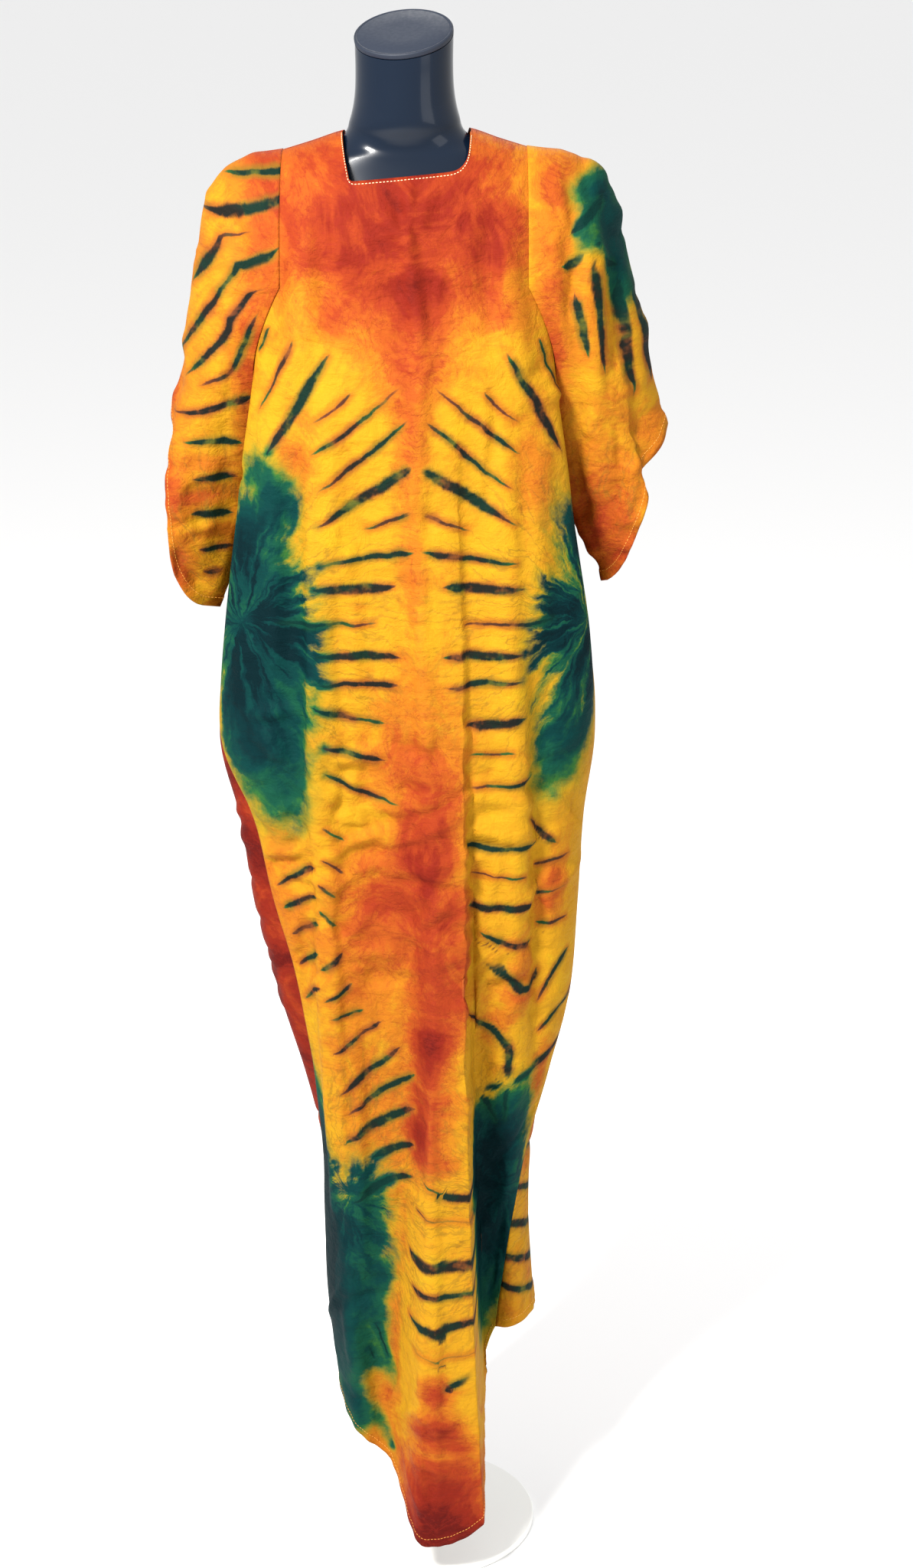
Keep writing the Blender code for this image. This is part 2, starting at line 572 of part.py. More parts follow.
def sleeve(front_grid, back_grid, side, table, notch_rise):
    """Outer and inner points of a sleeve, rings from the armhole to the cuff."""
    edge = {-1: {"front": 0, "back": -1}, 1: {"front": -1, "back": 0}}[side]
    halves = []
    for name, grid in (("front", front_grid), ("back", back_grid)):
        points, normals = grid
        here = edge[name]
        beside = 1 if here == 0 else -2
        at_edge = points[SKIRT_ROWS:, here]
        away = at_edge - points[SKIRT_ROWS:, beside]
        away /= np.linalg.norm(away, axis=1, keepdims=True)
        halves.append((at_edge, normals[SKIRT_ROWS:, here], away))
    (front, front_n, front_away), (back, back_n, back_away) = halves
    up = np.array([0.0, 0.0, 1.0])

    def ring_of(front_values, back_values, bottom, top):
        return np.concatenate([[bottom], front_values[1:-1], [top], back_values[-2:0:-1]])

    middle = ring_of(front, back, (front[0] + back[0]) / 2, (front[-1] + back[-1]) / 2)
    normal = ring_of(front_n, back_n, np.array([side, 0, 0]), up)
    away = ring_of(front_away, back_away, up, np.array([side, 0, 0]))
    rise = (middle[:, 2] - middle[:, 2].min()) / np.ptp(middle[:, 2])
    lapped = ramp((rise - LAP_RISE) / LAP_WIDTH)[:, None]
    risen = ramp((rise - UNDERARM_RISE) / UNDERARM_WIDTH)[:, None]
    lift = UNDERARM_GAP + (SLEEVE_GAP - UNDERARM_GAP) * risen
    first_inner = middle + normal * lift
    first_outer = first_inner + normal * WALL * lapped - away * WALL * (1 - lapped)

    count = len(middle)
    is_back = np.arange(count) > len(front) - 1
    rows = len(table)
    rings = [first_outer]
    for r in range(1, rows):
        top_x, top_z, bottom_x, bottom_z, depth, bulge, notch = table[r]
        part = r / (rows - 1)
        swell = np.sin(pi * rise) ** TUBE_FLATNESS
        x = bottom_x + (top_x - bottom_x) * rise + bulge * np.sin(pi * rise**BULGE_LOWNESS)
        x = x - notch * bell((rise - notch_rise) / NOTCH_WIDTH)
        z = bottom_z + (top_z - bottom_z) * rise
        y = np.where(is_back, 1, -1) * depth * swell
        longer = CUFF_BACK_LONGER * part**3 * np.where(is_back, swell, 0)
        shaped = np.stack([side * (x + longer * CUFF_BACK_OUT), y, z - longer], axis=1)
        start = first_outer + np.stack(
            [
                side * ((bottom_x - table[0][2]) * (1 - rise) + (top_x - table[0][0]) * rise),
                np.zeros(count),
                (bottom_z - table[0][3]) * (1 - rise) + (top_z - table[0][1]) * rise,
            ],
            axis=1,
        )
        blend = ramp(part / SLEEVE_START - 0.5)
        rings.append(start * (1 - blend) + shaped * blend)
    outer = np.array(rings)
    around = np.roll(outer, -1, axis=1) - np.roll(outer, 1, axis=1)
    along = np.gradient(outer, axis=0)
    out = np.cross(around, along)
    out /= np.linalg.norm(out, axis=2, keepdims=True)
    centre = outer.mean(axis=1, keepdims=True)
    if ((outer - centre) * out).sum() < 0:
        out = -out
    inner = outer - out * WALL
    inner[0] = first_inner
    return outer, inner


def form_rings():
    """The dress form's outline, level by level, each level tilted forward and rolled as its row says."""
    turn = np.linspace(0, 2 * pi, FORM_POINTS, endpoint=False)
    rings = []
    for z, half_width, front, back, tilt, roll in FORM:
        x = half_width * np.cos(turn)
        y = np.where(np.sin(turn) < 0, front, back) * np.sin(turn)
        level = Matrix.Translation((0, 0, z)) @ Matrix.Rotation(radians(roll), 4, "Y").inverted()
        level = level @ Matrix.Rotation(radians(tilt), 4, "X")
        rings.append([level @ Vector((px, py, 0)) for px, py in zip(x, y)])
    return rings


def loft(rings):
    """A closed solid through rings, with flat ends."""
    mesh = bmesh.new()
    made = [[mesh.verts.new(p) for p in ring] for ring in rings]
    for low, high in zip(made, made[1:]):
        for c in range(len(low)):
            d = (c + 1) % len(low)
            mesh.faces.new((low[c], low[d], high[d], high[c]))
    mesh.faces.new(made[0][::-1])
    mesh.faces.new(made[-1])
    bmesh.ops.triangulate(mesh, faces=mesh.faces)
    bmesh.ops.recalc_face_normals(mesh, faces=mesh.faces)
    return mesh


def turned(profile, count, level):
    """A closed solid turned about an axis, from rows of radius and height."""
    turn = np.linspace(0, 2 * pi, count, endpoint=False)
    rings = [[level @ Vector((r * np.cos(a), r * np.sin(a), h)) for a in turn] for r, h in profile]
    return loft(rings)


def build():
    for old in list(bpy.data.objects):
        bpy.data.objects.remove(old)
    cloth = material("dyed_cloth", (0.85, 0.45, 0.07), 0.85)
    plastic = material("navy_gloss_plastic", (0.012, 0.018, 0.032), 0.12)
    matte = material("matte_navy_plastic", (0.03, 0.04, 0.06), 0.55)
    metal = material("satin_white_metal", (0.82, 0.82, 0.80), 0.4)

    surface, normals = body_surface()
    grids = {name: panel(surface, normals, name == "front") for name in ("front", "back")}
    for name, (points, out) in grids.items():
        add_object(f"dress_{name}", wall_mesh(points, points - out * WALL, False), cloth)
    for name, side, table in (("sleeve_right", -1, SLEEVE_RIGHT), ("sleeve_left", 1, SLEEVE_LEFT)):
        outer, inner = sleeve(grids["front"], grids["back"], side, table, NOTCH_RISE[name])
        add_object(name, wall_mesh(outer, inner, True), cloth)

    add_object("form_torso", loft(form_rings()), plastic)
    top_z, tilt, roll = FORM[-1][0], FORM[-1][4], FORM[-1][5]
    level = Matrix.Translation((0, 0, top_z)) @ Matrix.Rotation(radians(roll), 4, "Y").inverted()
    level = level @ Matrix.Rotation(radians(tilt), 4, "X")
    cap = ((CAP_RADIUS, TOUCH_GAP), (CAP_RADIUS, CAP_THICKNESS - CAP_EDGE), (CAP_RADIUS - CAP_EDGE, CAP_THICKNESS))
    add_object("form_cap", turned(cap, CAP_POINTS, level), matte)

    stand = Matrix.Translation((MIDDLE_X, MIDDLE_Y + STAND_Y, 0))
    foot = ((FOOT_RADIUS - FOOT_EDGE, 0), (FOOT_RADIUS, FOOT_EDGE), (FOOT_RADIUS, FOOT_THICKNESS - FOOT_EDGE))
    foot = (*foot, (FOOT_RADIUS - FOOT_EDGE, FOOT_THICKNESS))
    add_object("form_base", turned(foot, FOOT_POINTS, stand), metal)
    pole = ((POLE_RADIUS, FOOT_THICKNESS + TOUCH_GAP), (POLE_RADIUS, FORM[0][0] - TOUCH_GAP))
    add_object("form_pole", turned(pole, POLE_POINTS, stand), metal)


build()
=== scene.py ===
"""The looks of a tie-dyed house dress on its dress form.

Every piece is made in the frame of the solids' tables, from the same sizes and sections as the solids but
much more finely divided, and then moved to the object's frame. Creases are added along the cloth's normals.
The dye is worked out in cloth coordinates: s runs along the cloth from the centre crease, and z is the height.
"""

from math import pi, radians

import bmesh
import bpy
import numpy as np
from mathutils import Matrix, Vector


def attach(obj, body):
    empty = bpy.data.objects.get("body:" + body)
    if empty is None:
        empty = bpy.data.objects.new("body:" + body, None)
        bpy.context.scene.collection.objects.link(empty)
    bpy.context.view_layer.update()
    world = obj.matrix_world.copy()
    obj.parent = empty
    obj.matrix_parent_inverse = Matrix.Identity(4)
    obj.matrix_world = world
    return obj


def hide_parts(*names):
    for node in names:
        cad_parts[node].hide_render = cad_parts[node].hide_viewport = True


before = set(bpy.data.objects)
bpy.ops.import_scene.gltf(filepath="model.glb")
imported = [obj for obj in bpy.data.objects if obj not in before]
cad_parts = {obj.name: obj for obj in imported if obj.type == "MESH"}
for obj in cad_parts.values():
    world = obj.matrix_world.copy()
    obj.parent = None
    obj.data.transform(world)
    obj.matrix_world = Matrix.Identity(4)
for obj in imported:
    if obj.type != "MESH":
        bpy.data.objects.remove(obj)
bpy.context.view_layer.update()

# The gap along the side seams, and how square the body's sections are
SEAM_GAP = 0.0003
SQUARENESS = 3.0
# The front's and the back's own folds fade out this far from the middle plane
FOLD_FADE = 0.030

# Heights of the dress's body
UNDERARM_Z = 1.190
CHEST_Z = 1.400

# The bounding box's middle, in the frame that the tables below use
MIDDLE_X = 0.011
MIDDLE_Y = -0.001
MIDDLE = np.array((MIDDLE_X, MIDDLE_Y, 0))

# Half widths to each side and depths to the front and back, level by level
BODY_COLUMNS = ("z", "left", "right", "front", "back")
BODY = (
    (0.040, 0.060, 0.140, 0.078, 0.092),
    (0.140, 0.072, 0.140, 0.079, 0.098),
    (0.220, 0.083, 0.140, 0.080, 0.102),
    (0.300, 0.091, 0.133, 0.082, 0.104),
    (0.400, 0.094, 0.128, 0.085, 0.106),
    (0.480, 0.097, 0.132, 0.088, 0.108),
    (0.560, 0.111, 0.149, 0.092, 0.111),
    (0.650, 0.136, 0.170, 0.099, 0.116),
    (0.750, 0.160, 0.177, 0.107, 0.121),
    (0.850, 0.174, 0.182, 0.113, 0.126),
    (0.940, 0.194, 0.192, 0.118, 0.128),
    (1.000, 0.187, 0.189, 0.120, 0.126),
    (1.060, 0.172, 0.176, 0.121, 0.119),
    (1.130, 0.158, 0.160, 0.121, 0.112),
    (1.190, 0.148, 0.149, 0.121, 0.108),
    (1.290, 0.142, 0.142, 0.119, 0.104),
    (1.400, 0.150, 0.150, 0.098, 0.098),
)

# The seam that joins the front to the back lies this far round towards the front, in degrees, over a groove
SEAM_COLUMNS = ("z", "left", "right", "left_groove", "right_groove")
SEAM = (
    (0.100, 2.0, 57.0, 0.000, 0.002),
    (0.220, 4.0, 58.0, 0.002, 0.002),
    (0.350, 8.0, 45.0, 0.004, 0.002),
    (0.450, 14.0, 28.0, 0.006, 0.002),
    (0.520, 24.0, 15.0, 0.007, 0.002),
    (0.600, 38.0, 8.0, 0.009, 0.003),
    (0.700, 44.0, 4.0, 0.011, 0.002),
    (0.800, 36.0, 3.0, 0.012, 0.002),
    (0.880, 30.0, 2.0, 0.010, 0.002),
    (0.960, 14.0, 1.0, 0.006, 0.001),
    (1.050, 3.0, 0.0, 0.002, 0.000),
    (1.190, 0.0, 0.0, 0.000, 0.000),
)
GROOVE_WIDTH = 7.0
GROOVE_BEHIND = 8.0

# The deep pleat down the middle of the front: a soft left edge, a sharp right edge and a recess beside it
# The last two columns are the shares of the front's points that lie left of its edge and left of its foot
PLEAT_COLUMNS = ("z", "left", "right", "height", "recess", "edge_share", "foot_share")
PLEAT = (
    (0.040, -0.004, 0.086, 0.058, 0.040, 0.62, 0.86),
    (0.250, -0.002, 0.075, 0.055, 0.045, 0.62, 0.86),
    (0.450, 0.006, 0.068, 0.046, 0.034, 0.60, 0.82),
    (0.620, 0.012, 0.064, 0.032, 0.014, 0.58, 0.76),
    (0.800, 0.014, 0.062, 0.018, 0.004, 0.57, 0.69),
    (1.000, 0.012, 0.060, 0.009, 0.000, 0.56, 0.63),
    (1.180, 0.010, 0.055, 0.003, 0.000, 0.56, 0.60),
    (1.300, 0.010, 0.050, 0.000, 0.000, 0.56, 0.59),
)
PLEAT_SOFT = 0.034
PLEAT_SHARP = 0.009
RECESS_WIDTH = 0.045

# Soft ridges (positive) and troughs (negative) that run down the front and the back: x at the top and at the
# bottom, z at the top and at the bottom, width and height
FRONT_FOLDS = (
    (-0.104, -0.062, 1.360, 0.150, 0.016, 0.007),
    (-0.128, -0.082, 1.200, 0.300, 0.014, -0.006),
    (-0.045, -0.026, 1.250, 0.080, 0.020, -0.005),
    (0.104, 0.112, 1.350, 0.700, 0.018, 0.006),
    (0.135, 0.128, 1.250, 0.700, 0.012, -0.006),
)
BACK_FOLDS = (
    (-0.125, -0.062, 1.250, 0.120, 0.016, 0.016),
    (-0.080, -0.034, 1.150, 0.120, 0.014, -0.012),
    (-0.030, -0.004, 1.300, 0.120, 0.020, 0.012),
    (0.030, 0.026, 1.050, 0.120, 0.015, -0.013),
    (0.072, 0.058, 1.220, 0.120, 0.018, 0.017),
    (0.118, 0.088, 1.100, 0.120, 0.014, -0.010),
)

# The step at the edge of the second fold, to the right of the pleat
STEP_COLUMNS = ("z", "x", "drop")
STEP = (
    (0.560, 0.128, 0.000),
    (0.700, 0.127, 0.012),
    (0.850, 0.124, 0.016),
    (0.960, 0.121, 0.010),
    (1.060, 0.120, 0.000),
)
STEP_SHARP = 0.007
STEP_FADE = 0.060

# The front's fullness rolls out in front of each sleeve
ROLL_COLUMNS = ("z", "depth", "left_out", "right_out")
ROLL = (
    (0.880, 0.070, 0.000, 0.000),
    (0.980, 0.072, 0.006, 0.006),
    (1.060, 0.074, 0.020, 0.018),
    (1.130, 0.076, 0.026, 0.024),
    (1.200, 0.077, 0.028, 0.026),
    (1.290, 0.078, 0.020, 0.019),
    (1.360, 0.076, 0.007, 0.007),
    (1.400, 0.075, 0.000, 0.000),
)
ROLL_WIDTH = 0.026
BODY_TABLES = (
    (BODY, BODY_COLUMNS),
    (PLEAT, PLEAT_COLUMNS),
    (STEP, STEP_COLUMNS),
    (ROLL, ROLL_COLUMNS),
    (SEAM, SEAM_COLUMNS),
)

# Height of the hem, by the share of the way across each panel, in the direction of its columns
HEM_COLUMNS = ("share", "z")
FRONT_HEM = (
    (0.00, 0.198),
    (0.10, 0.170),
    (0.20, 0.140),
    (0.30, 0.098),
    (0.36, 0.070),
    (0.41, 0.055),
    (0.47, 0.050),
    (0.55, 0.058),
    (0.62, 0.078),
    (0.70, 0.124),
    (0.86, 0.205),
    (1.00, 0.262),
)
BACK_HEM = ((0.00, 0.262), (0.10, 0.274), (0.20, 0.276), (0.35, 0.254), (0.70, 0.232), (1.00, 0.198))

# Armholes, on either side of the shoulder
ARMHOLE_X = 0.121
ARMHOLE_CURVE = 1.35

# The line of the shoulders, from the left armhole to the right one
SHOULDER_COLUMNS = ("x", "z")
SHOULDER = (
    (-0.121, 1.519),
    (-0.091, 1.528),
    (-0.060, 1.538),
    (0.000, 1.546),
    (0.064, 1.540),
    (0.091, 1.531),
    (0.121, 1.522),
)
FRONT_FULLNESS = 2.0
BACK_FULLNESS = 3.0

# The neckline: corners from the left side round to the right, as x, z and radius
FRONT_NECKLINE = (
    (-0.0600, 1.5380, 0.0),
    (-0.0525, 1.4985, 0.006),
    (0.0600, 1.5085, 0.022),
    (0.0640, 1.5400, 0.0),
)
BACK_NECKLINE = (
    (-0.0600, 1.5380, 0.0),
    (-0.0540, 1.5170, 0.016),
    (0.0580, 1.5180, 0.016),
    (0.0640, 1.5400, 0.0),
)
FRONT_NECKLINE_SHARE = (0.18, 0.75)
BACK_NECKLINE_SHARE = (0.25, 0.75)
CORNER_POINTS = 9
NECKLINE_POINTS = 61

# How much closer the points lie where the cloth turns
CORNER_WEIGHT = 0.010

# Sleeves, from the armhole to the cuff: the top and bottom line, the half depth, the outward bulge and the notch
SLEEVE_COLUMNS = ("top_x", "top_z", "bottom_x", "bottom_z", "depth", "bulge", "notch")
SLEEVE_RIGHT = (
    (0.1210, 1.519, 0.1500, 1.190, 0.078, 0.000, 0.000),
    (0.1500, 1.514, 0.1540, 1.178, 0.074, 0.002, 0.000),
    (0.1720, 1.504, 0.1580, 1.165, 0.068, 0.005, 0.000),
    (0.1850, 1.488, 0.1620, 1.150, 0.062, 0.010, 0.000),
    (0.1950, 1.453, 0.1665, 1.134, 0.057, 0.015, 0.000),
    (0.2050, 1.408, 0.1715, 1.116, 0.052, 0.020, 0.000),
    (0.2140, 1.360, 0.1770, 1.098, 0.048, 0.025, 0.001),
    (0.2230, 1.312, 0.1830, 1.080, 0.045, 0.030, 0.003),
    (0.2340, 1.268, 0.1900, 1.063, 0.042, 0.033, 0.007),
)
SLEEVE_LEFT = (
    (0.1210, 1.522, 0.1510, 1.190, 0.078, 0.000, 0.000),
    (0.1500, 1.518, 0.1555, 1.180, 0.074, 0.002, 0.000),
    (0.1800, 1.511, 0.1600, 1.170, 0.068, 0.005, 0.000),
    (0.1965, 1.497, 0.1650, 1.158, 0.062, 0.009, 0.000),
    (0.2070, 1.466, 0.1700, 1.146, 0.057, 0.012, 0.001),
    (0.2190, 1.420, 0.1760, 1.132, 0.052, 0.013, 0.003),
    (0.2300, 1.368, 0.1820, 1.118, 0.048, 0.013, 0.006),
    (0.2420, 1.308, 0.1890, 1.104, 0.045, 0.012, 0.011),
    (0.2600, 1.252, 0.1960, 1.090, 0.042, 0.011, 0.017),
)
SLEEVE_GAP = 0.0006
UNDERARM_GAP = 0.0012
# The sleeve's cloth is butted to the armhole below LAP_RISE and lapped on it above
LAP_RISE = 0.45
LAP_WIDTH = 0.5
UNDERARM_RISE = 0.1
UNDERARM_WIDTH = 0.2
# The share of the sleeve's length over which it leaves the armhole's own line
SLEEVE_START = 0.5
CUFF_BACK_LONGER = 0.011
CUFF_BACK_OUT = 0.1
TUBE_FLATNESS = 0.62
# The cuff's line is fullest low down, and has a shallow notch higher up
BULGE_LOWNESS = 0.45
NOTCH_WIDTH = 0.10

# Dress form: half width, and depth to the front and the back
FORM_COLUMNS = ("z", "half_width", "front", "back", "tilt", "roll")
FORM = (
    (0.775, 0.140, 0.082, 0.098, 0.0, 0.0),
    (0.800, 0.158, 0.090, 0.108, 0.0, 0.0),
    (0.850, 0.167, 0.095, 0.115, 0.0, 0.0),
    (0.910, 0.170, 0.096, 0.117, 0.0, 0.0),
    (0.980, 0.160, 0.092, 0.108, 0.0, 0.0),
    (1.050, 0.143, 0.086, 0.092, 0.0, 0.0),
    (1.120, 0.131, 0.084, 0.082, 0.0, 0.0),
    (1.190, 0.128, 0.093, 0.082, 0.0, 0.0),
    (1.260, 0.130, 0.107, 0.086, 0.0, 0.0),
    (1.310, 0.134, 0.110, 0.089, 0.0, 0.0),
    (1.360, 0.144, 0.098, 0.090, 0.0, 0.0),
    (1.400, 0.154, 0.084, 0.088, 0.0, 0.0),
    (1.440, 0.162, 0.072, 0.080, 0.0, 0.0),
    (1.470, 0.163, 0.060, 0.070, 0.0, 0.0),
    (1.495, 0.158, 0.048, 0.059, 0.0, 0.0),
    (1.508, 0.146, 0.0430, 0.053, 0.0, 0.0),
    (1.517, 0.116, 0.0405, 0.050, 0.0, 0.0),
    (1.526, 0.077, 0.0390, 0.042, 1.0, 0.0),
    (1.536, 0.059, 0.0403, 0.046, 3.0, 1.0),
    (1.550, 0.053, 0.044, 0.051, 6.0, 2.0),
    (1.570, 0.0485, 0.045, 0.050, 11.0, 3.0),
    (1.600, 0.0470, 0.046, 0.049, 17.0, 5.0),
    (1.626, 0.0475, 0.0475, 0.0475, 21.0, 6.0),
)
FORM_POINTS = 120
CAP_THICKNESS = 0.006
CAP_RADIUS = 0.0478
CAP_EDGE = 0.0016

POLE_RADIUS = 0.0125
FOOT_RADIUS = 0.125
FOOT_THICKNESS = 0.009
FOOT_EDGE = 0.002
STAND_Y = 0.006
TOUCH_GAP = 0.0003
CAP_POINTS = 120
# The shallow groove on the cap's top: radius and depth
CAP_TOP = ((0.0466, 0), (0.0452, 0), (0.0446, 0.0005), (0.0438, 0), (0.0200, 0))
FOOT_POINTS = 160
POLE_POINTS = 64


def column(table, columns, name):
    """One named column of a table, as an array."""
    return np.array([row[columns.index(name)] for row in table], dtype=float)


def smooth(value, places, values):
    """Values between the rows of a table, along a smooth curve that doesn't overshoot."""
    steps = np.diff(places)
    slopes = np.diff(values) / steps
    tangents = np.concatenate(([slopes[0]], (slopes[:-1] + slopes[1:]) / 2, [slopes[-1]]))
    flat = slopes[:-1] * slopes[1:] <= 0
    tangents[1:-1][flat] = 0
    value = np.clip(value, places[0], places[-1])
    index = np.clip(np.searchsorted(places, value, side="right") - 1, 0, len(steps) - 1)
    step = steps[index]
    part = (value - places[index]) / step
    return (
        values[index] * (1 + 2 * part) * (1 - part) ** 2
        + tangents[index] * step * part * (1 - part) ** 2
        + values[index + 1] * part**2 * (3 - 2 * part)
        + tangents[index + 1] * step * part**2 * (part - 1)
    )


def at(table, columns, name, place):
    """A table's named column at a place along its first column."""
    return smooth(place, column(table, columns, columns[0]), column(table, columns, name))


def row_at(table, columns, place):
    """All of a table's columns at a place along its first column, by name."""
    return {name: at(table, columns, name, place) for name in columns[1:]}


def ramp(value):
    """Rises smoothly from 0 at -1/2 to 1 at +1/2."""
    part = np.clip(value + 0.5, 0, 1)
    return part * part * (3 - 2 * part)


def bell(value):
    return np.exp(-value * value)


def run_along(points):
    """The distance along a path to each of its points, or along each column of a grid."""
    steps = np.linalg.norm(np.diff(points, axis=0), axis=-1)
    return np.concatenate([np.zeros((1,) + steps.shape[1:]), np.cumsum(steps, axis=0)])


def on_path(place, run, values):
    """The values of a path's points at a distance along it, each axis on its own."""
    return np.stack([np.interp(place, run, values[:, axis]) for axis in range(values.shape[1])], axis=-1)


def running_folds(x, z, table):
    """The height of the folds that run down a panel, at one level."""
    total = np.zeros_like(x)
    for x_top, x_bottom, z_top, z_bottom, width, height in table:
        down = (z_top - z) / (z_top - z_bottom)
        if down > 0:
            middle = x_top + (x_bottom - x_top) * min(down, 1)
            grown = height * ramp(min(down * 1.6, 1) - 0.5)
            total += grown * bell((x - middle) / width)
    return total


def level_section(z, angles):
    """The dress's outer outline at a height: angle 0 is at +X, and 270 degrees is the front."""
    across, along = np.cos(angles), np.sin(angles)
    power = 2 / SQUARENESS
    body, pleat, step, roll, seam = (row_at(*table, z) for table in BODY_TABLES)
    side = np.where(across < 0, body["left"], body["right"])
    deep = np.where(along < 0, body["front"], body["back"])
    x = side * np.sign(across) * np.abs(across) ** power
    y = deep * np.sign(along) * np.abs(along) ** power
    front = ramp(-y / FOLD_FADE)
    back = ramp(y / FOLD_FADE)

    inside = ramp((x - pleat["left"]) / PLEAT_SOFT) * ramp((pleat["right"] - x) / PLEAT_SHARP)
    beside = ramp((x - pleat["right"]) / PLEAT_SHARP) * bell((x - pleat["right"]) / RECESS_WIDTH)
    past_step = x - step["x"]
    stepped = ramp(past_step / STEP_SHARP) * np.exp(-np.clip(past_step, 0, None) / STEP_FADE)
    folds = pleat["height"] * inside - pleat["recess"] * beside - step["drop"] * stepped
    y = y - front * (folds + running_folds(x, z, FRONT_FOLDS))
    y = y + back * running_folds(x, z, BACK_FOLDS)

    rolled = bell((y + roll["depth"]) / ROLL_WIDTH) * ramp(-along * 2)
    x = x - rolled * roll["left_out"] * ramp(-across * 2)
    x = x + rolled * roll["right_out"] * ramp(across * 2)

    turned = np.degrees(angles) % 360
    left_from_seam = turned - (180 + seam["left"]) + GROOVE_BEHIND
    right_from_seam = (turned + 180) % 360 - 180 + seam["right"] - GROOVE_BEHIND
    sunk = seam["left_groove"] * bell(left_from_seam / GROOVE_WIDTH)
    sunk = sunk + seam["right_groove"] * bell(right_from_seam / GROOVE_WIDTH)
    inward = 1 - sunk / np.hypot(x, y)
    return np.stack([x * inward, y * inward], axis=-1)


TINY = 1e-12
LEVEL_STEP = 0.010
ANGLES = np.linspace(0, 2 * pi, 1080, endpoint=False)
FINE_STEPS = 700
NORMAL_STEP = 0.002
LEVELS = np.arange(0.040, CHEST_Z + LEVEL_STEP / 2, LEVEL_STEP)


def body_surface():
    """The dress's body up to the chest, as a dense grid of points and outward normals, level by level."""
    rings = np.array([level_section(z, ANGLES) for z in LEVELS])
    heights = np.broadcast_to(LEVELS[:, None, None], rings.shape[:2] + (1,))
    points = np.concatenate([rings, heights], axis=2)
    return points, grid_normals(points, True)


def look_up(grid, angle, z):
    """A dense grid's value at an angle and a height."""
    column_place = (angle / (2 * pi) * len(ANGLES)) % len(ANGLES)
    level_place = np.clip((z - LEVELS[0]) / LEVEL_STEP, 0, len(LEVELS) - 1)
    c0 = np.floor(column_place).astype(int) % len(ANGLES)
    l0 = np.minimum(np.floor(level_place).astype(int), len(LEVELS) - 2)
    c_part = (column_place - np.floor(column_place))[..., None]
    l_part = (level_place - l0)[..., None]
    c1 = (c0 + 1) % len(ANGLES)
    low = grid[l0, c0] * (1 - c_part) + grid[l0, c1] * c_part
    high = grid[l0 + 1, c0] * (1 - c_part) + grid[l0 + 1, c1] * c_part
    return low * (1 - l_part) + high * l_part


def chest_angle(x_side, front):
    """The angle at which the chest's section reaches an armhole's distance to the side."""
    angles = np.linspace(pi, (1.5 if front else 0.5) * pi, FINE_STEPS)
    section = level_section(CHEST_Z, angles)
    reach = np.interp(-ARMHOLE_X, section[:, 0], np.arange(len(angles)))
    angle = np.interp(reach, np.arange(len(angles)), angles)
    return angle if x_side < 0 else pi - angle


def panel_ends(z, front):
    """The angles where a panel starts and ends at a height, at its side seams or its armholes."""
    sides = []
    for side, name in ((-1, "left"), (1, "right")):
        if z <= UNDERARM_Z:
            forward = radians(float(at(SEAM, SEAM_COLUMNS, name, z)))
            sides.append(pi + forward if side < 0 else 2 * pi - forward)
            continue
        risen = (z - UNDERARM_Z) / (CHEST_Z - UNDERARM_Z)
        opened = min(risen, 1) ** ARMHOLE_CURVE
        if side < 0:
            sides.append(pi + (chest_angle(side, front) - pi) * opened)
        else:
            closing = chest_angle(side, front)
            closing = closing % (2 * pi) if front else closing
            closed = 2 * pi if front else 0
            sides.append(closed + (closing - closed) * opened)
    left, right = sides
    if front:
        return left, right
    right = right - 2 * pi if right > pi else right
    return right, left


def share_angles(surface, z, front, count):
    """Angles that divide a panel at a height evenly, with more points where the cloth turns."""
    start, end = panel_ends(z, front)
    angles = np.linspace(start, end, FINE_STEPS)
    points = look_up(surface, angles, np.full(angles.shape, z))
    moves = np.diff(points[:, :2], axis=0)
    lengths = np.linalg.norm(moves, axis=1)
    headings = np.unwrap(np.arctan2(moves[:, 1], moves[:, 0]))
    turns = np.abs(np.diff(headings, prepend=headings[0]))
    measure = np.concatenate(([0], np.cumsum(lengths + CORNER_WEIGHT * turns)))
    lengthwise = run_along(points[:, :2])
    edge = np.interp([SEAM_GAP / 2, lengthwise[-1] - SEAM_GAP / 2], lengthwise, measure)
    shares = np.linspace(0, 1, count)
    if not front:
        return np.interp(edge[0] + (edge[1] - edge[0]) * shares, measure, angles)
    pleat = row_at(PLEAT, PLEAT_COLUMNS, z)
    middle = np.abs(points[:, 0] - pleat["right"]) < PLEAT_SHARP * 3
    foot = [pleat["right"] - PLEAT_SHARP / 2, pleat["right"] + PLEAT_SHARP / 2]
    sides = np.interp(foot, points[middle, 0], measure[middle])
    places = (0, pleat["edge_share"], pleat["foot_share"], 1)
    return np.interp(np.interp(shares, places, (edge[0], *sides, edge[1])), measure, angles)


def rounded_path(table, count):
    """Points spaced evenly along the lines between a table's corners, each corner rounded by its radius."""
    corners = [np.array(row[:2]) for row in table]
    path = [corners[0]]
    for before, here, after, row in zip(corners, corners[1:-1], corners[2:], table[1:]):
        back = (before - here) / np.linalg.norm(before - here)
        on = (after - here) / np.linalg.norm(after - here)
        half = np.arccos(np.clip(back @ on, -1, 1)) / 2
        reach = min(row[2] / np.tan(half), np.linalg.norm(before - here) / 2)
        for part in np.linspace(0, 1, CORNER_POINTS):
            path.append(here + back * reach * (1 - part) ** 2 + on * reach * part**2)
    path = np.array([*path, corners[-1]])
    run = run_along(path)
    return on_path(np.linspace(0, run[-1], count), run, path)


def shoulder_z(x):
    return at(SHOULDER, SHOULDER_COLUMNS, "z", x)


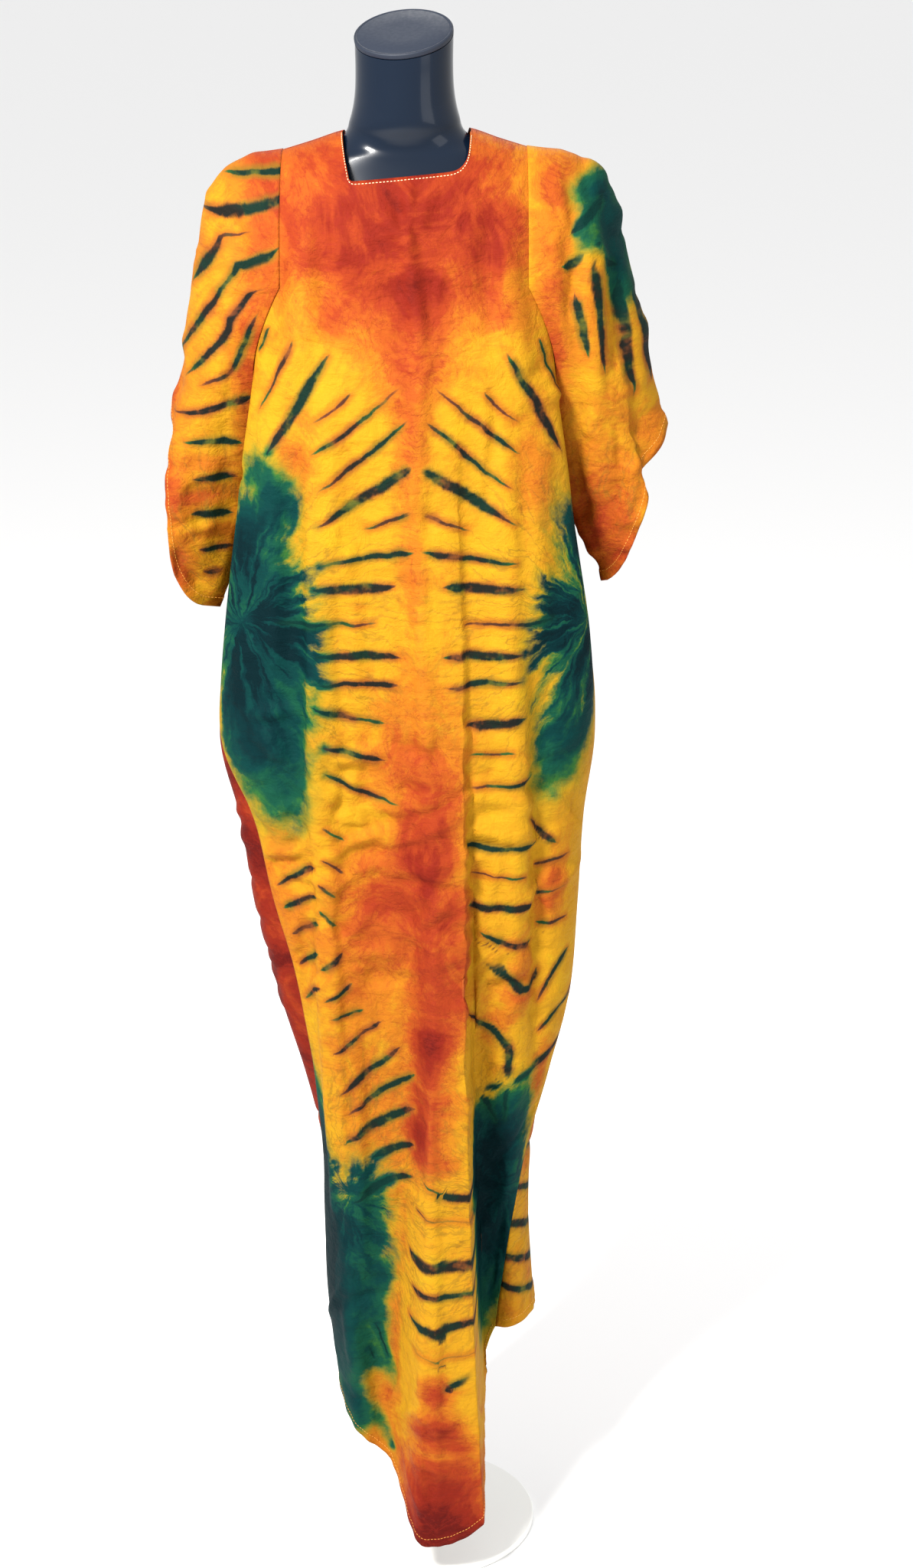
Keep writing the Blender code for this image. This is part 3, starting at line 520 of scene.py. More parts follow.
def over_shoulder(x, risen, front):
    """A point on the cloth between the chest and the shoulder seam, and its outward normal."""
    fullness = FRONT_FULLNESS if front else BACK_FULLNESS
    seam_y = (-1 if front else 1) * SEAM_GAP / 2
    chest = level_section(CHEST_Z, np.linspace(pi, 2 * pi if front else 0, FINE_STEPS))

    def place(px, pr):
        chest_y = np.interp(px, chest[:, 0], chest[:, 1])
        deep = np.clip(1 - pr**fullness, 0, 1) ** 0.5
        height = CHEST_Z + (shoulder_z(px) - CHEST_Z) * pr
        return np.stack([px, seam_y + (chest_y - seam_y) * deep, height], axis=-1)

    across = place(x + NORMAL_STEP, risen) - place(x - NORMAL_STEP, risen)
    up = place(x, np.minimum(risen + NORMAL_STEP, 1)) - place(x, np.maximum(risen - NORMAL_STEP, 0))
    normal = np.cross(across, up) * (1 if front else -1)
    return place(x, risen), normal / np.linalg.norm(normal, axis=-1, keepdims=True)


def panel(surface, normals, front, grid):
    """A panel's outer points and normals, rows from the hem to the shoulder and columns across."""
    count, skirt_rows, armhole_rows, shoulder_rows = grid
    shares = np.linspace(0, 1, count)
    hem = at(FRONT_HEM if front else BACK_HEM, HEM_COLUMNS, "z", shares)
    by_level = np.array([share_angles(surface, z, front, count) for z in LEVELS])
    heights = [hem + (UNDERARM_Z - hem) * part for part in np.linspace(0, 1, skirt_rows + 1)]
    heights += [np.full(count, z) for z in np.linspace(UNDERARM_Z, CHEST_Z, armhole_rows + 1)[1:]]
    rows = []
    for z in heights:
        angles = np.array([np.interp(z[i], LEVELS, by_level[:, i]) for i in range(count)])
        rows.append((look_up(surface, angles, z), look_up(normals, angles, z)))
    chest_x = rows[-1][0][:, 0]
    neckline = rounded_path(FRONT_NECKLINE if front else BACK_NECKLINE, NECKLINE_POINTS)
    left_share, right_share = FRONT_NECKLINE_SHARE if front else BACK_NECKLINE_SHARE
    share = shares if front else shares[::-1]
    top_x, top_z = on_path(share, np.linspace(left_share, right_share, NECKLINE_POINTS), neckline).T
    start_x, end_x = sorted(chest_x[[0, -1]])
    on_left, on_right = share < left_share, share > right_share
    top_x[on_left] = np.interp(share[on_left], (0, left_share), (start_x, neckline[0, 0]))
    top_x[on_right] = np.interp(share[on_right], (right_share, 1), (neckline[-1, 0], end_x))
    shoulder = shoulder_z(top_x)
    on_seam = on_left | on_right
    top_z[on_seam] = shoulder[on_seam]
    full = np.clip((top_z - CHEST_Z) / (shoulder - CHEST_Z), 0, 1)
    for part in np.linspace(0, 1, shoulder_rows + 1)[1:]:
        x = chest_x * (1 - part) + top_x * part
        rows.append(over_shoulder(x, np.sin(part * np.arcsin(full)), front))
    return tuple(np.array(values) for values in zip(*rows))


def sleeve(armholes, side, table, notch_rise):
    """A sleeve's outer points, rings from the armhole to the cuff."""
    halves = []
    for (points, normals), at_start in zip(armholes, (side < 0, side > 0)):
        here, beside = (0, 1) if at_start else (-1, -2)
        away = points[:, here] - points[:, beside]
        away /= np.linalg.norm(away, axis=1, keepdims=True)
        halves.append((points[:, here], normals[:, here], away))
    (front, front_n, front_away), (back, back_n, back_away) = halves
    up, outward = np.array([0.0, 0.0, 1.0]), np.array([side, 0, 0])

    def ring_of(front_values, back_values, bottom, top):
        return np.concatenate([[bottom], front_values[1:-1], [top], back_values[-2:0:-1]])

    middle = ring_of(front, back, (front[0] + back[0]) / 2, (front[-1] + back[-1]) / 2)
    normal = ring_of(front_n, back_n, outward, up)
    away = ring_of(front_away, back_away, up, outward)
    rise = (middle[:, 2] - middle[:, 2].min()) / np.ptp(middle[:, 2])
    lapped = ramp((rise - LAP_RISE) / LAP_WIDTH)[:, None]
    risen = ramp((rise - UNDERARM_RISE) / UNDERARM_WIDTH)[:, None]
    lift = UNDERARM_GAP + (SLEEVE_GAP - UNDERARM_GAP) * risen
    first = middle + normal * (lift - SEAM_PRESSED * lapped) - away * SEAM_LAP * lapped
    first = first + normal * SHELL * lapped - away * SHELL * (1 - lapped)

    is_back = np.arange(len(middle)) > len(front) - 1
    swell = np.sin(pi * rise) ** TUBE_FLATNESS
    start_top_x, start_top_z, start_bottom_x, start_bottom_z = table[0][:4]
    rings = [first]
    for part, row in zip(np.linspace(0, 1, len(table))[1:], table[1:]):
        top_x, top_z, bottom_x, bottom_z, depth, bulge, notch = row
        x = bottom_x + (top_x - bottom_x) * rise + bulge * np.sin(pi * rise**BULGE_LOWNESS)
        x = x - notch * bell((rise - notch_rise) / NOTCH_WIDTH)
        z = bottom_z + (top_z - bottom_z) * rise
        y = np.where(is_back, 1, -1) * depth * swell
        longer = CUFF_BACK_LONGER * part**3 * np.where(is_back, swell, 0)
        shaped = np.stack([side * (x + longer * CUFF_BACK_OUT), y, z - longer], axis=1)
        moved_x = side * ((bottom_x - start_bottom_x) * (1 - rise) + (top_x - start_top_x) * rise)
        moved_z = (bottom_z - start_bottom_z) * (1 - rise) + (top_z - start_top_z) * rise
        start = first + np.stack([moved_x, np.zeros(len(middle)), moved_z], axis=1)
        blend = ramp(part / SLEEVE_START - 0.5)
        rings.append(start * (1 - blend) + shaped * blend)
    return np.array(rings)


# How finely a panel is divided: points across, and rows up the skirt, the armhole and the shoulder
FRONT_GRID = (161, 236, 36, 26)
BACK_GRID = (141, 180, 36, 26)
SLEEVE_RINGS = 90
# How thick the cloth's shells are
SHELL = 0.0012

# The centre-front crease, by height
CENTRE_COLUMNS = ("z", "x")
CENTRE = (
    (0.160, 0.017),
    (0.470, 0.013),
    (0.690, 0.011),
    (0.935, 0.008),
    (1.243, 0.001),
    (1.365, 0.003),
    (1.457, -0.007),
    (1.500, -0.007),
)

# Pressed and hanging creases, in the front view: x and z of one end, x and z of the other, the height, which
# is positive for a ridge, the half width and the bow
FRONT_CREASES = (
    (0.004, 1.495, 0.004, 1.440, 0.0022, 0.006, 0.000),
    (0.004, 1.440, 0.014, 1.330, 0.0026, 0.007, 0.002),
    (0.014, 1.330, 0.012, 1.170, 0.0022, 0.009, 0.000),
    (0.012, 1.170, 0.020, 0.900, 0.0016, 0.008, 0.000),
    (0.023, 0.560, 0.028, 0.080, 0.0014, 0.006, 0.002),
    (-0.022, 1.470, 0.000, 1.440, 0.0014, 0.006, 0.003),
    (-0.004, 1.476, 0.014, 1.446, -0.0014, 0.006, 0.002),
    (0.024, 1.486, 0.012, 1.448, 0.0014, 0.007, -0.002),
    (-0.082, 1.478, -0.078, 1.376, -0.0016, 0.010, 0.004),
    (-0.094, 1.440, -0.116, 1.300, 0.0034, 0.014, 0.004),
    (-0.074, 1.290, -0.076, 1.130, 0.0028, 0.011, 0.002),
    (-0.088, 1.250, -0.090, 0.780, 0.0040, 0.009, 0.002),
    (-0.074, 1.200, -0.070, 0.840, 0.0014, 0.007, -0.002),
    (-0.052, 1.130, -0.050, 0.960, 0.0012, 0.008, 0.002),
    (-0.108, 1.230, -0.112, 0.900, -0.0034, 0.014, 0.002),
    (-0.132, 1.260, -0.128, 1.040, 0.0026, 0.012, 0.003),
    (-0.040, 1.240, -0.036, 1.080, -0.0016, 0.014, 0.002),
    (-0.076, 0.900, -0.074, 0.520, 0.0016, 0.006, 0.001),
    (-0.089, 0.780, -0.082, 0.420, 0.0022, 0.007, 0.001),
    (-0.056, 0.640, -0.052, 0.360, 0.0014, 0.007, -0.002),
    (-0.100, 0.840, -0.148, 0.826, 0.0022, 0.005, 0.002),
    (-0.094, 0.852, -0.126, 0.876, -0.0014, 0.006, 0.001),
    (-0.002, 0.866, -0.094, 0.826, 0.0020, 0.005, -0.004),
    (0.050, 0.880, -0.034, 0.846, 0.0020, 0.005, 0.005),
    (0.046, 0.900, -0.046, 0.884, 0.0014, 0.005, 0.003),
    (-0.010, 0.835, -0.088, 0.790, 0.0013, 0.006, -0.003),
    (-0.032, 0.780, -0.072, 0.736, 0.0014, 0.006, 0.002),
    (-0.060, 0.745, -0.092, 0.790, -0.0013, 0.006, 0.002),
    (0.046, 0.790, -0.020, 0.742, 0.0012, 0.007, 0.003),
    (0.044, 0.730, -0.060, 0.722, 0.0010, 0.006, -0.004),
    (-0.026, 0.950, -0.082, 0.936, 0.0012, 0.006, 0.002),
    (-0.060, 0.910, -0.074, 0.872, -0.0016, 0.006, 0.001),
    (-0.102, 0.990, -0.160, 0.980, 0.0016, 0.006, 0.002),
    (-0.120, 0.930, -0.150, 0.965, 0.0018, 0.007, -0.002),
    (-0.150, 0.930, -0.120, 0.900, -0.0018, 0.008, 0.002),
    (-0.104, 0.800, -0.120, 0.730, 0.0014, 0.006, 0.001),
    (0.058, 0.900, 0.100, 0.892, 0.0014, 0.005, 0.002),
    (0.060, 0.872, 0.104, 0.880, -0.0014, 0.006, 0.002),
    (0.062, 0.866, 0.110, 0.852, 0.0016, 0.005, -0.003),
    (0.092, 0.830, 0.080, 0.770, 0.0016, 0.005, 0.001),
    (0.078, 0.780, 0.070, 0.640, 0.0024, 0.006, 0.001),
    (0.088, 0.780, 0.088, 0.680, 0.0018, 0.005, 0.001),
    (0.066, 0.720, 0.060, 0.600, -0.0014, 0.006, 0.001),
    (0.120, 0.850, 0.150, 0.842, 0.0018, 0.006, -0.004),
    (0.118, 0.772, 0.152, 0.800, 0.0014, 0.006, 0.003),
    (0.122, 0.730, 0.148, 0.716, -0.0014, 0.007, 0.002),
    (0.010, 0.212, 0.046, 0.198, 0.0018, 0.004, -0.005),
    (-0.004, 0.460, 0.050, 0.452, 0.0008, 0.006, -0.002),
    (-0.002, 0.290, 0.046, 0.296, 0.0008, 0.005, 0.002),
    (0.004, 0.150, 0.050, 0.134, 0.0010, 0.005, 0.004),
    (-0.006, 0.140, 0.020, 0.090, 0.0012, 0.006, 0.001),
    (-0.070, 0.300, -0.050, 0.160, 0.0020, 0.008, 0.002),
    (-0.040, 0.250, -0.028, 0.130, -0.0022, 0.008, 0.001),
    (-0.062, 0.240, -0.048, 0.150, -0.0018, 0.007, 0.001),
    (0.096, 1.440, 0.112, 1.300, 0.0030, 0.014, -0.004),
    (0.082, 1.470, 0.086, 1.370, -0.0016, 0.010, -0.003),
    (0.100, 1.240, 0.104, 0.980, 0.0030, 0.010, -0.002),
    (0.064, 1.300, 0.062, 1.080, -0.0018, 0.012, 0.002),
    (0.130, 1.250, 0.126, 1.060, 0.0026, 0.012, 0.003),
    (0.060, 1.060, 0.104, 1.030, 0.0014, 0.007, 0.004),
)
BACK_CREASES = (
    (-0.100, 1.460, -0.110, 1.300, 0.0034, 0.014, 0.003),
    (0.100, 1.470, 0.112, 1.310, 0.0030, 0.014, -0.003),
    (-0.050, 1.480, -0.056, 1.360, -0.0018, 0.012, 0.002),
    (0.044, 1.480, 0.050, 1.350, -0.0018, 0.012, 0.002),
    (0.000, 1.500, 0.002, 1.100, 0.0016, 0.006, 0.001),
    (-0.090, 1.180, -0.084, 0.900, 0.0026, 0.010, 0.002),
    (0.094, 1.200, 0.088, 0.930, 0.0024, 0.010, 0.002),
    (-0.046, 1.100, 0.004, 1.060, 0.0014, 0.006, 0.004),
    (0.020, 0.900, -0.060, 0.880, 0.0018, 0.006, 0.004),
    (0.060, 0.860, 0.010, 0.830, -0.0016, 0.006, 0.003),
    (-0.020, 0.830, -0.080, 0.800, 0.0016, 0.006, -0.003),
    (0.100, 0.850, 0.140, 0.830, 0.0018, 0.006, 0.002),
    (-0.100, 0.860, -0.150, 0.840, 0.0018, 0.006, 0.003),
    (0.050, 0.700, 0.046, 0.500, 0.0016, 0.007, 0.001),
    (-0.040, 0.640, -0.036, 0.400, 0.0016, 0.007, 0.001),
    (0.100, 0.460, 0.104, 0.300, 0.0016, 0.006, 0.001),
    (-0.150, 0.900, -0.120, 0.700, 0.0020, 0.008, 0.002),
    (-0.130, 0.780, -0.104, 0.620, -0.0018, 0.008, 0.002),
)
SLEEVE_RIGHT_CREASES = (
    (-0.132, 1.500, -0.150, 1.350, 0.0030, 0.012, 0.004),
    (-0.140, 1.470, -0.160, 1.250, -0.0030, 0.014, 0.004),
    (-0.172, 1.490, -0.192, 1.360, 0.0018, 0.012, -0.003),
    (-0.186, 1.400, -0.206, 1.200, 0.0030, 0.014, -0.004),
    (-0.168, 1.300, -0.186, 1.120, -0.0026, 0.012, 0.002),
    (-0.200, 1.300, -0.214, 1.150, -0.0022, 0.010, 0.002),
    (-0.222, 1.280, -0.226, 1.180, 0.0018, 0.009, 0.002),
    (-0.186, 1.158, -0.232, 1.150, 0.0012, 0.006, 0.002),
    (-0.140, 1.486, -0.176, 1.470, 0.0014, 0.008, 0.002),
)
SLEEVE_LEFT_CREASES = (
    (0.132, 1.504, 0.160, 1.300, 0.0034, 0.012, -0.003),
    (0.150, 1.440, 0.172, 1.230, -0.0030, 0.012, -0.002),
    (0.176, 1.470, 0.196, 1.290, 0.0034, 0.013, -0.003),
    (0.192, 1.450, 0.204, 1.300, -0.0026, 0.009, 0.002),
    (0.176, 1.300, 0.190, 1.130, 0.0030, 0.013, 0.003),
    (0.208, 1.410, 0.228, 1.280, 0.0020, 0.010, 0.003),
    (0.160, 1.240, 0.186, 1.100, -0.0022, 0.012, 0.002),
    (0.174, 1.440, 0.196, 1.412, 0.0014, 0.006, 0.002),
    (0.176, 1.404, 0.190, 1.436, 0.0014, 0.006, 0.002),
)

# Dark streaks of the dye. Each has three points in the front view: x, z and its thickness there
STREAKS = (
    (-0.052, 0.292, 0.0008, -0.042, 0.270, 0.0022, -0.034, 0.238, 0.0010),
    (-0.060, 0.264, 0.0008, -0.050, 0.240, 0.0024, -0.040, 0.206, 0.0010),
    (-0.055, 0.236, 0.0008, -0.046, 0.212, 0.0024, -0.037, 0.178, 0.0010),
    (-0.050, 0.208, 0.0008, -0.041, 0.184, 0.0022, -0.033, 0.150, 0.0010),
    (-0.043, 0.180, 0.0008, -0.036, 0.158, 0.0020, -0.029, 0.126, 0.0010),
    (-0.140, 1.362, 0.003, -0.146, 1.350, 0.003, -0.152, 1.335, 0.002),
    (-0.115, 1.352, 0.003, -0.128, 1.325, 0.003, -0.158, 1.270, 0.001),
    (-0.080, 1.342, 0.004, -0.110, 1.296, 0.008, -0.142, 1.243, 0.009),
    (-0.062, 1.307, 0.003, -0.078, 1.290, 0.002, -0.104, 1.270, 0.001),
    (-0.006, 1.318, 0.001, -0.051, 1.281, 0.003, -0.098, 1.245, 0.006),
    (-0.004, 1.283, 0.001, -0.042, 1.250, 0.004, -0.102, 1.203, 0.001),
    (-0.002, 1.236, 0.005, -0.032, 1.216, 0.010, -0.095, 1.176, 0.006),
    (0.003, 1.195, 0.003, -0.020, 1.182, 0.003, -0.058, 1.169, 0.001),
    (-0.001, 1.152, 0.007, -0.045, 1.145, 0.005, -0.100, 1.137, 0.003),
    (-0.020, 1.117, 0.005, -0.055, 1.114, 0.011, -0.102, 1.112, 0.005),
    (-0.030, 1.080, 0.001, -0.080, 1.078, 0.003, -0.141, 1.075, 0.004),
    (-0.013, 1.046, 0.002, -0.050, 1.047, 0.009, -0.101, 1.045, 0.004),
    (-0.018, 1.016, 0.005, -0.050, 1.017, 0.005, -0.099, 1.018, 0.004),
    (-0.032, 0.975, 0.006, -0.056, 0.980, 0.003, -0.099, 0.992, 0.012),
    (-0.035, 0.938, 0.010, -0.060, 0.943, 0.005, -0.094, 0.953, 0.006),
    (-0.010, 0.888, 0.001, -0.060, 0.906, 0.004, -0.097, 0.926, 0.002),
    (-0.074, 0.851, 0.004, -0.086, 0.858, 0.002, -0.098, 0.868, 0.002),
    (-0.074, 0.815, 0.003, -0.086, 0.823, 0.002, -0.099, 0.832, 0.003),
    (-0.084, 0.790, 0.002, -0.092, 0.798, 0.003, -0.100, 0.806, 0.003),
    (-0.084, 0.757, 0.004, -0.092, 0.765, 0.003, -0.101, 0.776, 0.003),
    (-0.104, 0.822, 0.006, -0.124, 0.808, 0.005, -0.148, 0.792, 0.002),
    (-0.102, 0.790, 0.004, -0.120, 0.780, 0.006, -0.140, 0.770, 0.002),
    (-0.100, 0.758, 0.003, -0.114, 0.752, 0.006, -0.132, 0.742, 0.002),
    (-0.100, 0.726, 0.003, -0.112, 0.716, 0.005, -0.126, 0.704, 0.002),
    (-0.099, 0.690, 0.004, -0.108, 0.680, 0.004, -0.120, 0.664, 0.002),
    (-0.078, 0.728, 0.003, -0.088, 0.718, 0.007, -0.099, 0.708, 0.004),
    (-0.068, 0.693, 0.002, -0.080, 0.684, 0.004, -0.099, 0.671, 0.002),
    (-0.058, 0.663, 0.003, -0.074, 0.656, 0.003, -0.094, 0.651, 0.003),
    (-0.041, 0.647, 0.007, -0.062, 0.632, 0.003, -0.089, 0.613, 0.010),
    (-0.020, 0.620, 0.006, -0.046, 0.598, 0.006, -0.084, 0.566, 0.009),
    (-0.002, 0.594, 0.002, -0.030, 0.574, 0.006, -0.081, 0.537, 0.004),
    (-0.003, 0.553, 0.005, -0.034, 0.536, 0.009, -0.079, 0.505, 0.012),
    (-0.004, 0.513, 0.004, -0.022, 0.503, 0.008, -0.050, 0.486, 0.010),
    (-0.004, 0.478, 0.003, -0.030, 0.464, 0.007, -0.070, 0.437, 0.012),
)
CENTRE_STREAKS = (
    (0.060, 0.462, 0.006, 0.040, 0.464, 0.009, 0.024, 0.467, 0.003),
    (0.024, 0.467, 0.002, 0.012, 0.474, 0.002, 0.000, 0.484, 0.001),
    (0.060, 0.430, 0.002, 0.028, 0.437, 0.001, -0.004, 0.443, 0.003),
    (0.062, 0.394, 0.012, 0.026, 0.385, 0.015, -0.010, 0.391, 0.012),
    (0.060, 0.358, 0.005, 0.026, 0.351, 0.006, -0.008, 0.354, 0.007),
    (0.063, 0.334, 0.007, 0.044, 0.318, 0.009, 0.022, 0.307, 0.013),
    (0.022, 0.307, 0.012, 0.008, 0.310, 0.010, -0.012, 0.320, 0.006),
    (0.064, 0.296, 0.002, 0.044, 0.282, 0.001, 0.022, 0.272, 0.002),
    (0.022, 0.272, 0.002, 0.006, 0.277, 0.001, -0.012, 0.288, 0.002),
    (0.068, 0.272, 0.005, 0.052, 0.252, 0.008, 0.034, 0.236, 0.003),
)
RIGHT_STREAKS = (
    (0.106, 0.981, 0.008, 0.080, 0.975, 0.010, 0.050, 0.975, 0.007),
    (0.100, 0.945, 0.002, 0.078, 0.944, 0.002, 0.050, 0.943, 0.002),
    (0.112, 0.914, 0.008, 0.086, 0.908, 0.003, 0.050, 0.911, 0.002),
    (0.115, 0.842, 0.007, 0.084, 0.840, 0.004, 0.050, 0.847, 0.008),
    (0.113, 0.807, 0.002, 0.084, 0.810, 0.002, 0.050, 0.816, 0.001),
    (0.116, 0.773, 0.009, 0.084, 0.776, 0.008, 0.050, 0.784, 0.009),
    (0.118, 0.730, 0.006, 0.094, 0.735, 0.006, 0.057, 0.753, 0.001),
    (0.038, 0.756, 0.011, 0.076, 0.712, 0.011, 0.108, 0.680, 0.011),
    (0.108, 0.680, 0.007, 0.118, 0.682, 0.007, 0.126, 0.700, 0.004),
    (0.156, 0.712, 0.007, 0.142, 0.688, 0.004, 0.124, 0.656, 0.003),
    (0.162, 0.668, 0.006, 0.146, 0.640, 0.004, 0.128, 0.622, 0.003),
    (0.152, 0.612, 0.007, 0.120, 0.580, 0.008, 0.058, 0.556, 0.006),
    (0.050, 0.668, 0.003, 0.074, 0.636, 0.006, 0.099, 0.612, 0.010),
    (0.099, 0.612, 0.010, 0.098, 0.570, 0.007, 0.096, 0.500, 0.006),
    (0.060, 0.560, 0.008, 0.078, 0.540, 0.006, 0.092, 0.510, 0.005),
    (0.112, 0.868, 0.005, 0.124, 0.850, 0.007, 0.142, 0.836, 0.006),
    (0.117, 0.783, 0.007, 0.134, 0.783, 0.002, 0.160, 0.788, 0.001),
    (0.120, 0.750, 0.001, 0.138, 0.746, 0.003, 0.158, 0.752, 0.001),
    (0.118, 0.812, 0.001, 0.134, 0.815, 0.003, 0.160, 0.822, 0.001),
)
# The same in cloth coordinates: the back's lower right
FLAP_STREAKS = (
    (0.262, 0.480, 0.003, 0.225, 0.468, 0.006, 0.150, 0.440, 0.003),
    (0.272, 0.442, 0.005, 0.230, 0.424, 0.007, 0.140, 0.396, 0.003),
    (0.280, 0.402, 0.006, 0.235, 0.382, 0.009, 0.130, 0.352, 0.004),
    (0.286, 0.360, 0.007, 0.240, 0.342, 0.009, 0.135, 0.312, 0.004),
    (0.288, 0.322, 0.006, 0.245, 0.306, 0.008, 0.150, 0.280, 0.003),
    (0.250, 0.520, 0.002, 0.210, 0.508, 0.006, 0.140, 0.486, 0.003),
)
SLEEVE_RIGHT_STREAKS = (
    (-0.122, 1.508, 0.005, -0.150, 1.503, 0.005, -0.190, 1.500, 0.002),
    (-0.122, 1.486, 0.003, -0.150, 1.473, 0.011, -0.202, 1.466, 0.010),
    (-0.136, 1.454, 0.001, -0.176, 1.446, 0.002, -0.184, 1.440, 0.003),
    (-0.184, 1.440, 0.003, -0.198, 1.420, 0.008, -0.217, 1.390, 0.002),
    (-0.128, 1.437, 0.008, -0.150, 1.425, 0.009, -0.170, 1.420, 0.006),
    (-0.170, 1.420, 0.006, -0.188, 1.390, 0.004, -0.228, 1.326, 0.014),
    (-0.148, 1.397, 0.006, -0.167, 1.386, 0.005, -0.178, 1.360, 0.006),
    (-0.178, 1.360, 0.007, -0.194, 1.336, 0.006, -0.234, 1.294, 0.001),
    (-0.148, 1.378, 0.003, -0.163, 1.350, 0.005, -0.175, 1.322, 0.006),
    (-0.175, 1.322, 0.006, -0.190, 1.309, 0.003, -0.222, 1.298, 0.001),
    (-0.160, 1.290, 0.009, -0.190, 1.280, 0.007, -0.240, 1.268, 0.002),
    (-0.168, 1.240, 0.002, -0.194, 1.244, 0.007, -0.232, 1.243, 0.001),
    (-0.174, 1.203, 0.002, -0.196, 1.205, 0.009, -0.224, 1.206, 0.001),
    (-0.180, 1.163, 0.003, -0.202, 1.166, 0.009, -0.226, 1.168, 0.001),
    (-0.184, 1.127, 0.005, -0.202, 1.129, 0.005, -0.220, 1.130, 0.002),
    (-0.196, 1.104, 0.001, -0.206, 1.102, 0.005, -0.216, 1.104, 0.001),
)
SLEEVE_LEFT_STREAKS = (
    (0.166, 1.430, 0.009, 0.173, 1.370, 0.007, 0.181, 1.310, 0.003),
    (0.196, 1.400, 0.012, 0.202, 1.350, 0.010, 0.210, 1.285, 0.004),
    (0.209, 1.400, 0.008, 0.217, 1.350, 0.008, 0.230, 1.298, 0.006),
    (0.154, 1.392, 0.006, 0.160, 1.362, 0.007, 0.166, 1.328, 0.002),
    (0.172, 1.426, 0.005, 0.182, 1.420, 0.007, 0.196, 1.416, 0.005),
    (0.150, 1.450, 0.008, 0.164, 1.462, 0.008, 0.180, 1.480, 0.009),
    (0.140, 1.420, 0.006, 0.156, 1.424, 0.009, 0.172, 1.440, 0.008),
)

# Soft fields of colour: x, z, reach across and up, lean in degrees, and amount
WARM_FIELDS = (
    (0.000, 1.480, 0.125, 0.110, 0, 0.76),
    (-0.074, 1.462, 0.026, 0.020, 20, 0.22),
    (-0.070, 1.430, 0.034, 0.014, 8, 0.24),
    (-0.036, 1.398, 0.050, 0.014, 14, 0.18),
    (0.010, 1.385, 0.026, 0.034, 0, 0.30),
    (-0.064, 1.372, 0.018, 0.014, 0, 0.22),
    (0.008, 1.325, 0.030, 0.060, 0, 0.30),
    (0.006, 1.260, 0.016, 0.060, 0, 0.22),
    (-0.128, 1.450, 0.030, 0.060, 0, 0.10),
    (-0.105, 1.230, 0.020, 0.060, 0, 0.22),
    (0.006, 1.120, 0.014, 0.070, 0, 0.22),
    (-0.020, 0.960, 0.050, 0.050, 0, 0.16),
    (0.022, 0.900, 0.036, 0.090, 0, 0.50),
    (-0.020, 0.810, 0.046, 0.060, 0, 0.34),
    (0.028, 0.740, 0.042, 0.110, 0, 0.58),
    (-0.040, 0.740, 0.040, 0.070, 0, 0.20),
    (0.016, 0.600, 0.032, 0.060, 0, 0.62),
    (0.030, 0.640, 0.020, 0.030, 0, 0.26),
    (0.010, 0.520, 0.026, 0.030, 0, 0.66),
    (0.036, 0.500, 0.020, 0.016, 0, 0.20),
    (-0.060, 0.640, 0.040, 0.130, 0, 0.10),
    (-0.030, 0.500, 0.040, 0.110, 0, 0.14),
    (-0.130, 0.800, 0.030, 0.090, 0, 0.20),
    (-0.020, 0.300, 0.014, 0.110, 0, 0.22),
    (0.028, 0.237, 0.018, 0.018, 0, 0.62),
    (0.022, 0.192, 0.028, 0.020, 10, 0.60),
    (0.050, 0.180, 0.016, 0.030, 30, 0.34),
    (0.030, 0.120, 0.070, 0.044, 0, 0.80),
    (0.030, 0.060, 0.080, 0.036, 0, 1.00),
    (-0.046, 0.190, 0.030, 0.060, 0, 0.22),
    (0.060, 0.690, 0.018, 0.030, 0, 0.30),
    (0.120, 0.690, 0.020, 0.040, 0, 0.30),
    (0.090, 0.640, 0.016, 0.020, 0, 0.24),
    (0.150, 0.780, 0.016, 0.030, 0, 0.44),
    (0.142, 0.570, 0.012, 0.040, 0, 0.40),
)
UPPER_GREEN_FIELDS = (
    (-0.124, 1.150, 0.048, 0.090, 10, 0.30),
    (-0.120, 1.000, 0.044, 0.110, 0, 0.42),
    (-0.160, 1.050, 0.064, 0.140, 0, 1.05),
    (-0.180, 1.080, 0.026, 0.070, 0, 0.40),
    (-0.140, 0.930, 0.036, 0.080, 0, 0.40),
    (-0.142, 1.228, 0.020, 0.030, 30, 0.36),
    (-0.120, 1.200, 0.022, 0.024, 0, 0.32),
    (-0.110, 0.880, 0.020, 0.030, 0, 0.30),
)
# The first three rows make the green deepest, a dark navy, in the trough on the lower left: partly green dye,
# partly painted shade of that trough
LOWER_GREEN_AND_TROUGH_SHADE_FIELDS = (
    (-0.094, 0.490, 0.022, 0.110, 0, 1.20),
    (-0.082, 0.330, 0.034, 0.150, 4, 1.75),
    (-0.100, 0.360, 0.024, 0.170, 3, 1.10),
    (-0.026, 0.350, 0.012, 0.030, -30, 0.42),
    (-0.022, 0.230, 0.012, 0.026, 30, 0.40),
    (-0.048, 0.400, 0.030, 0.080, 0, 0.85),
    (-0.030, 0.460, 0.020, 0.040, 0, 0.30),
    (-0.040, 0.290, 0.020, 0.060, 0, 0.62),
    (-0.058, 0.180, 0.014, 0.030, 30, 0.60),
    (-0.030, 0.160, 0.008, 0.040, 20, 0.46),
)
# The first three rows, in the recess right of the pleat, make the green a deep dark teal: partly green dye,
# partly painted shade of the recess. The last two are the green burst on the right
RIGHT_GREEN_AND_RECESS_SHADE_FIELDS = (
    (0.086, 0.470, 0.044, 0.075, 0, 1.05),
    (0.080, 0.380, 0.050, 0.120, 0, 1.30),
    (0.120, 0.540, 0.026, 0.040, 0, 0.60),
    (0.170, 1.060, 0.054, 0.140, 0, 0.86),
    (0.150, 0.930, 0.026, 0.050, 0, 0.50),
)
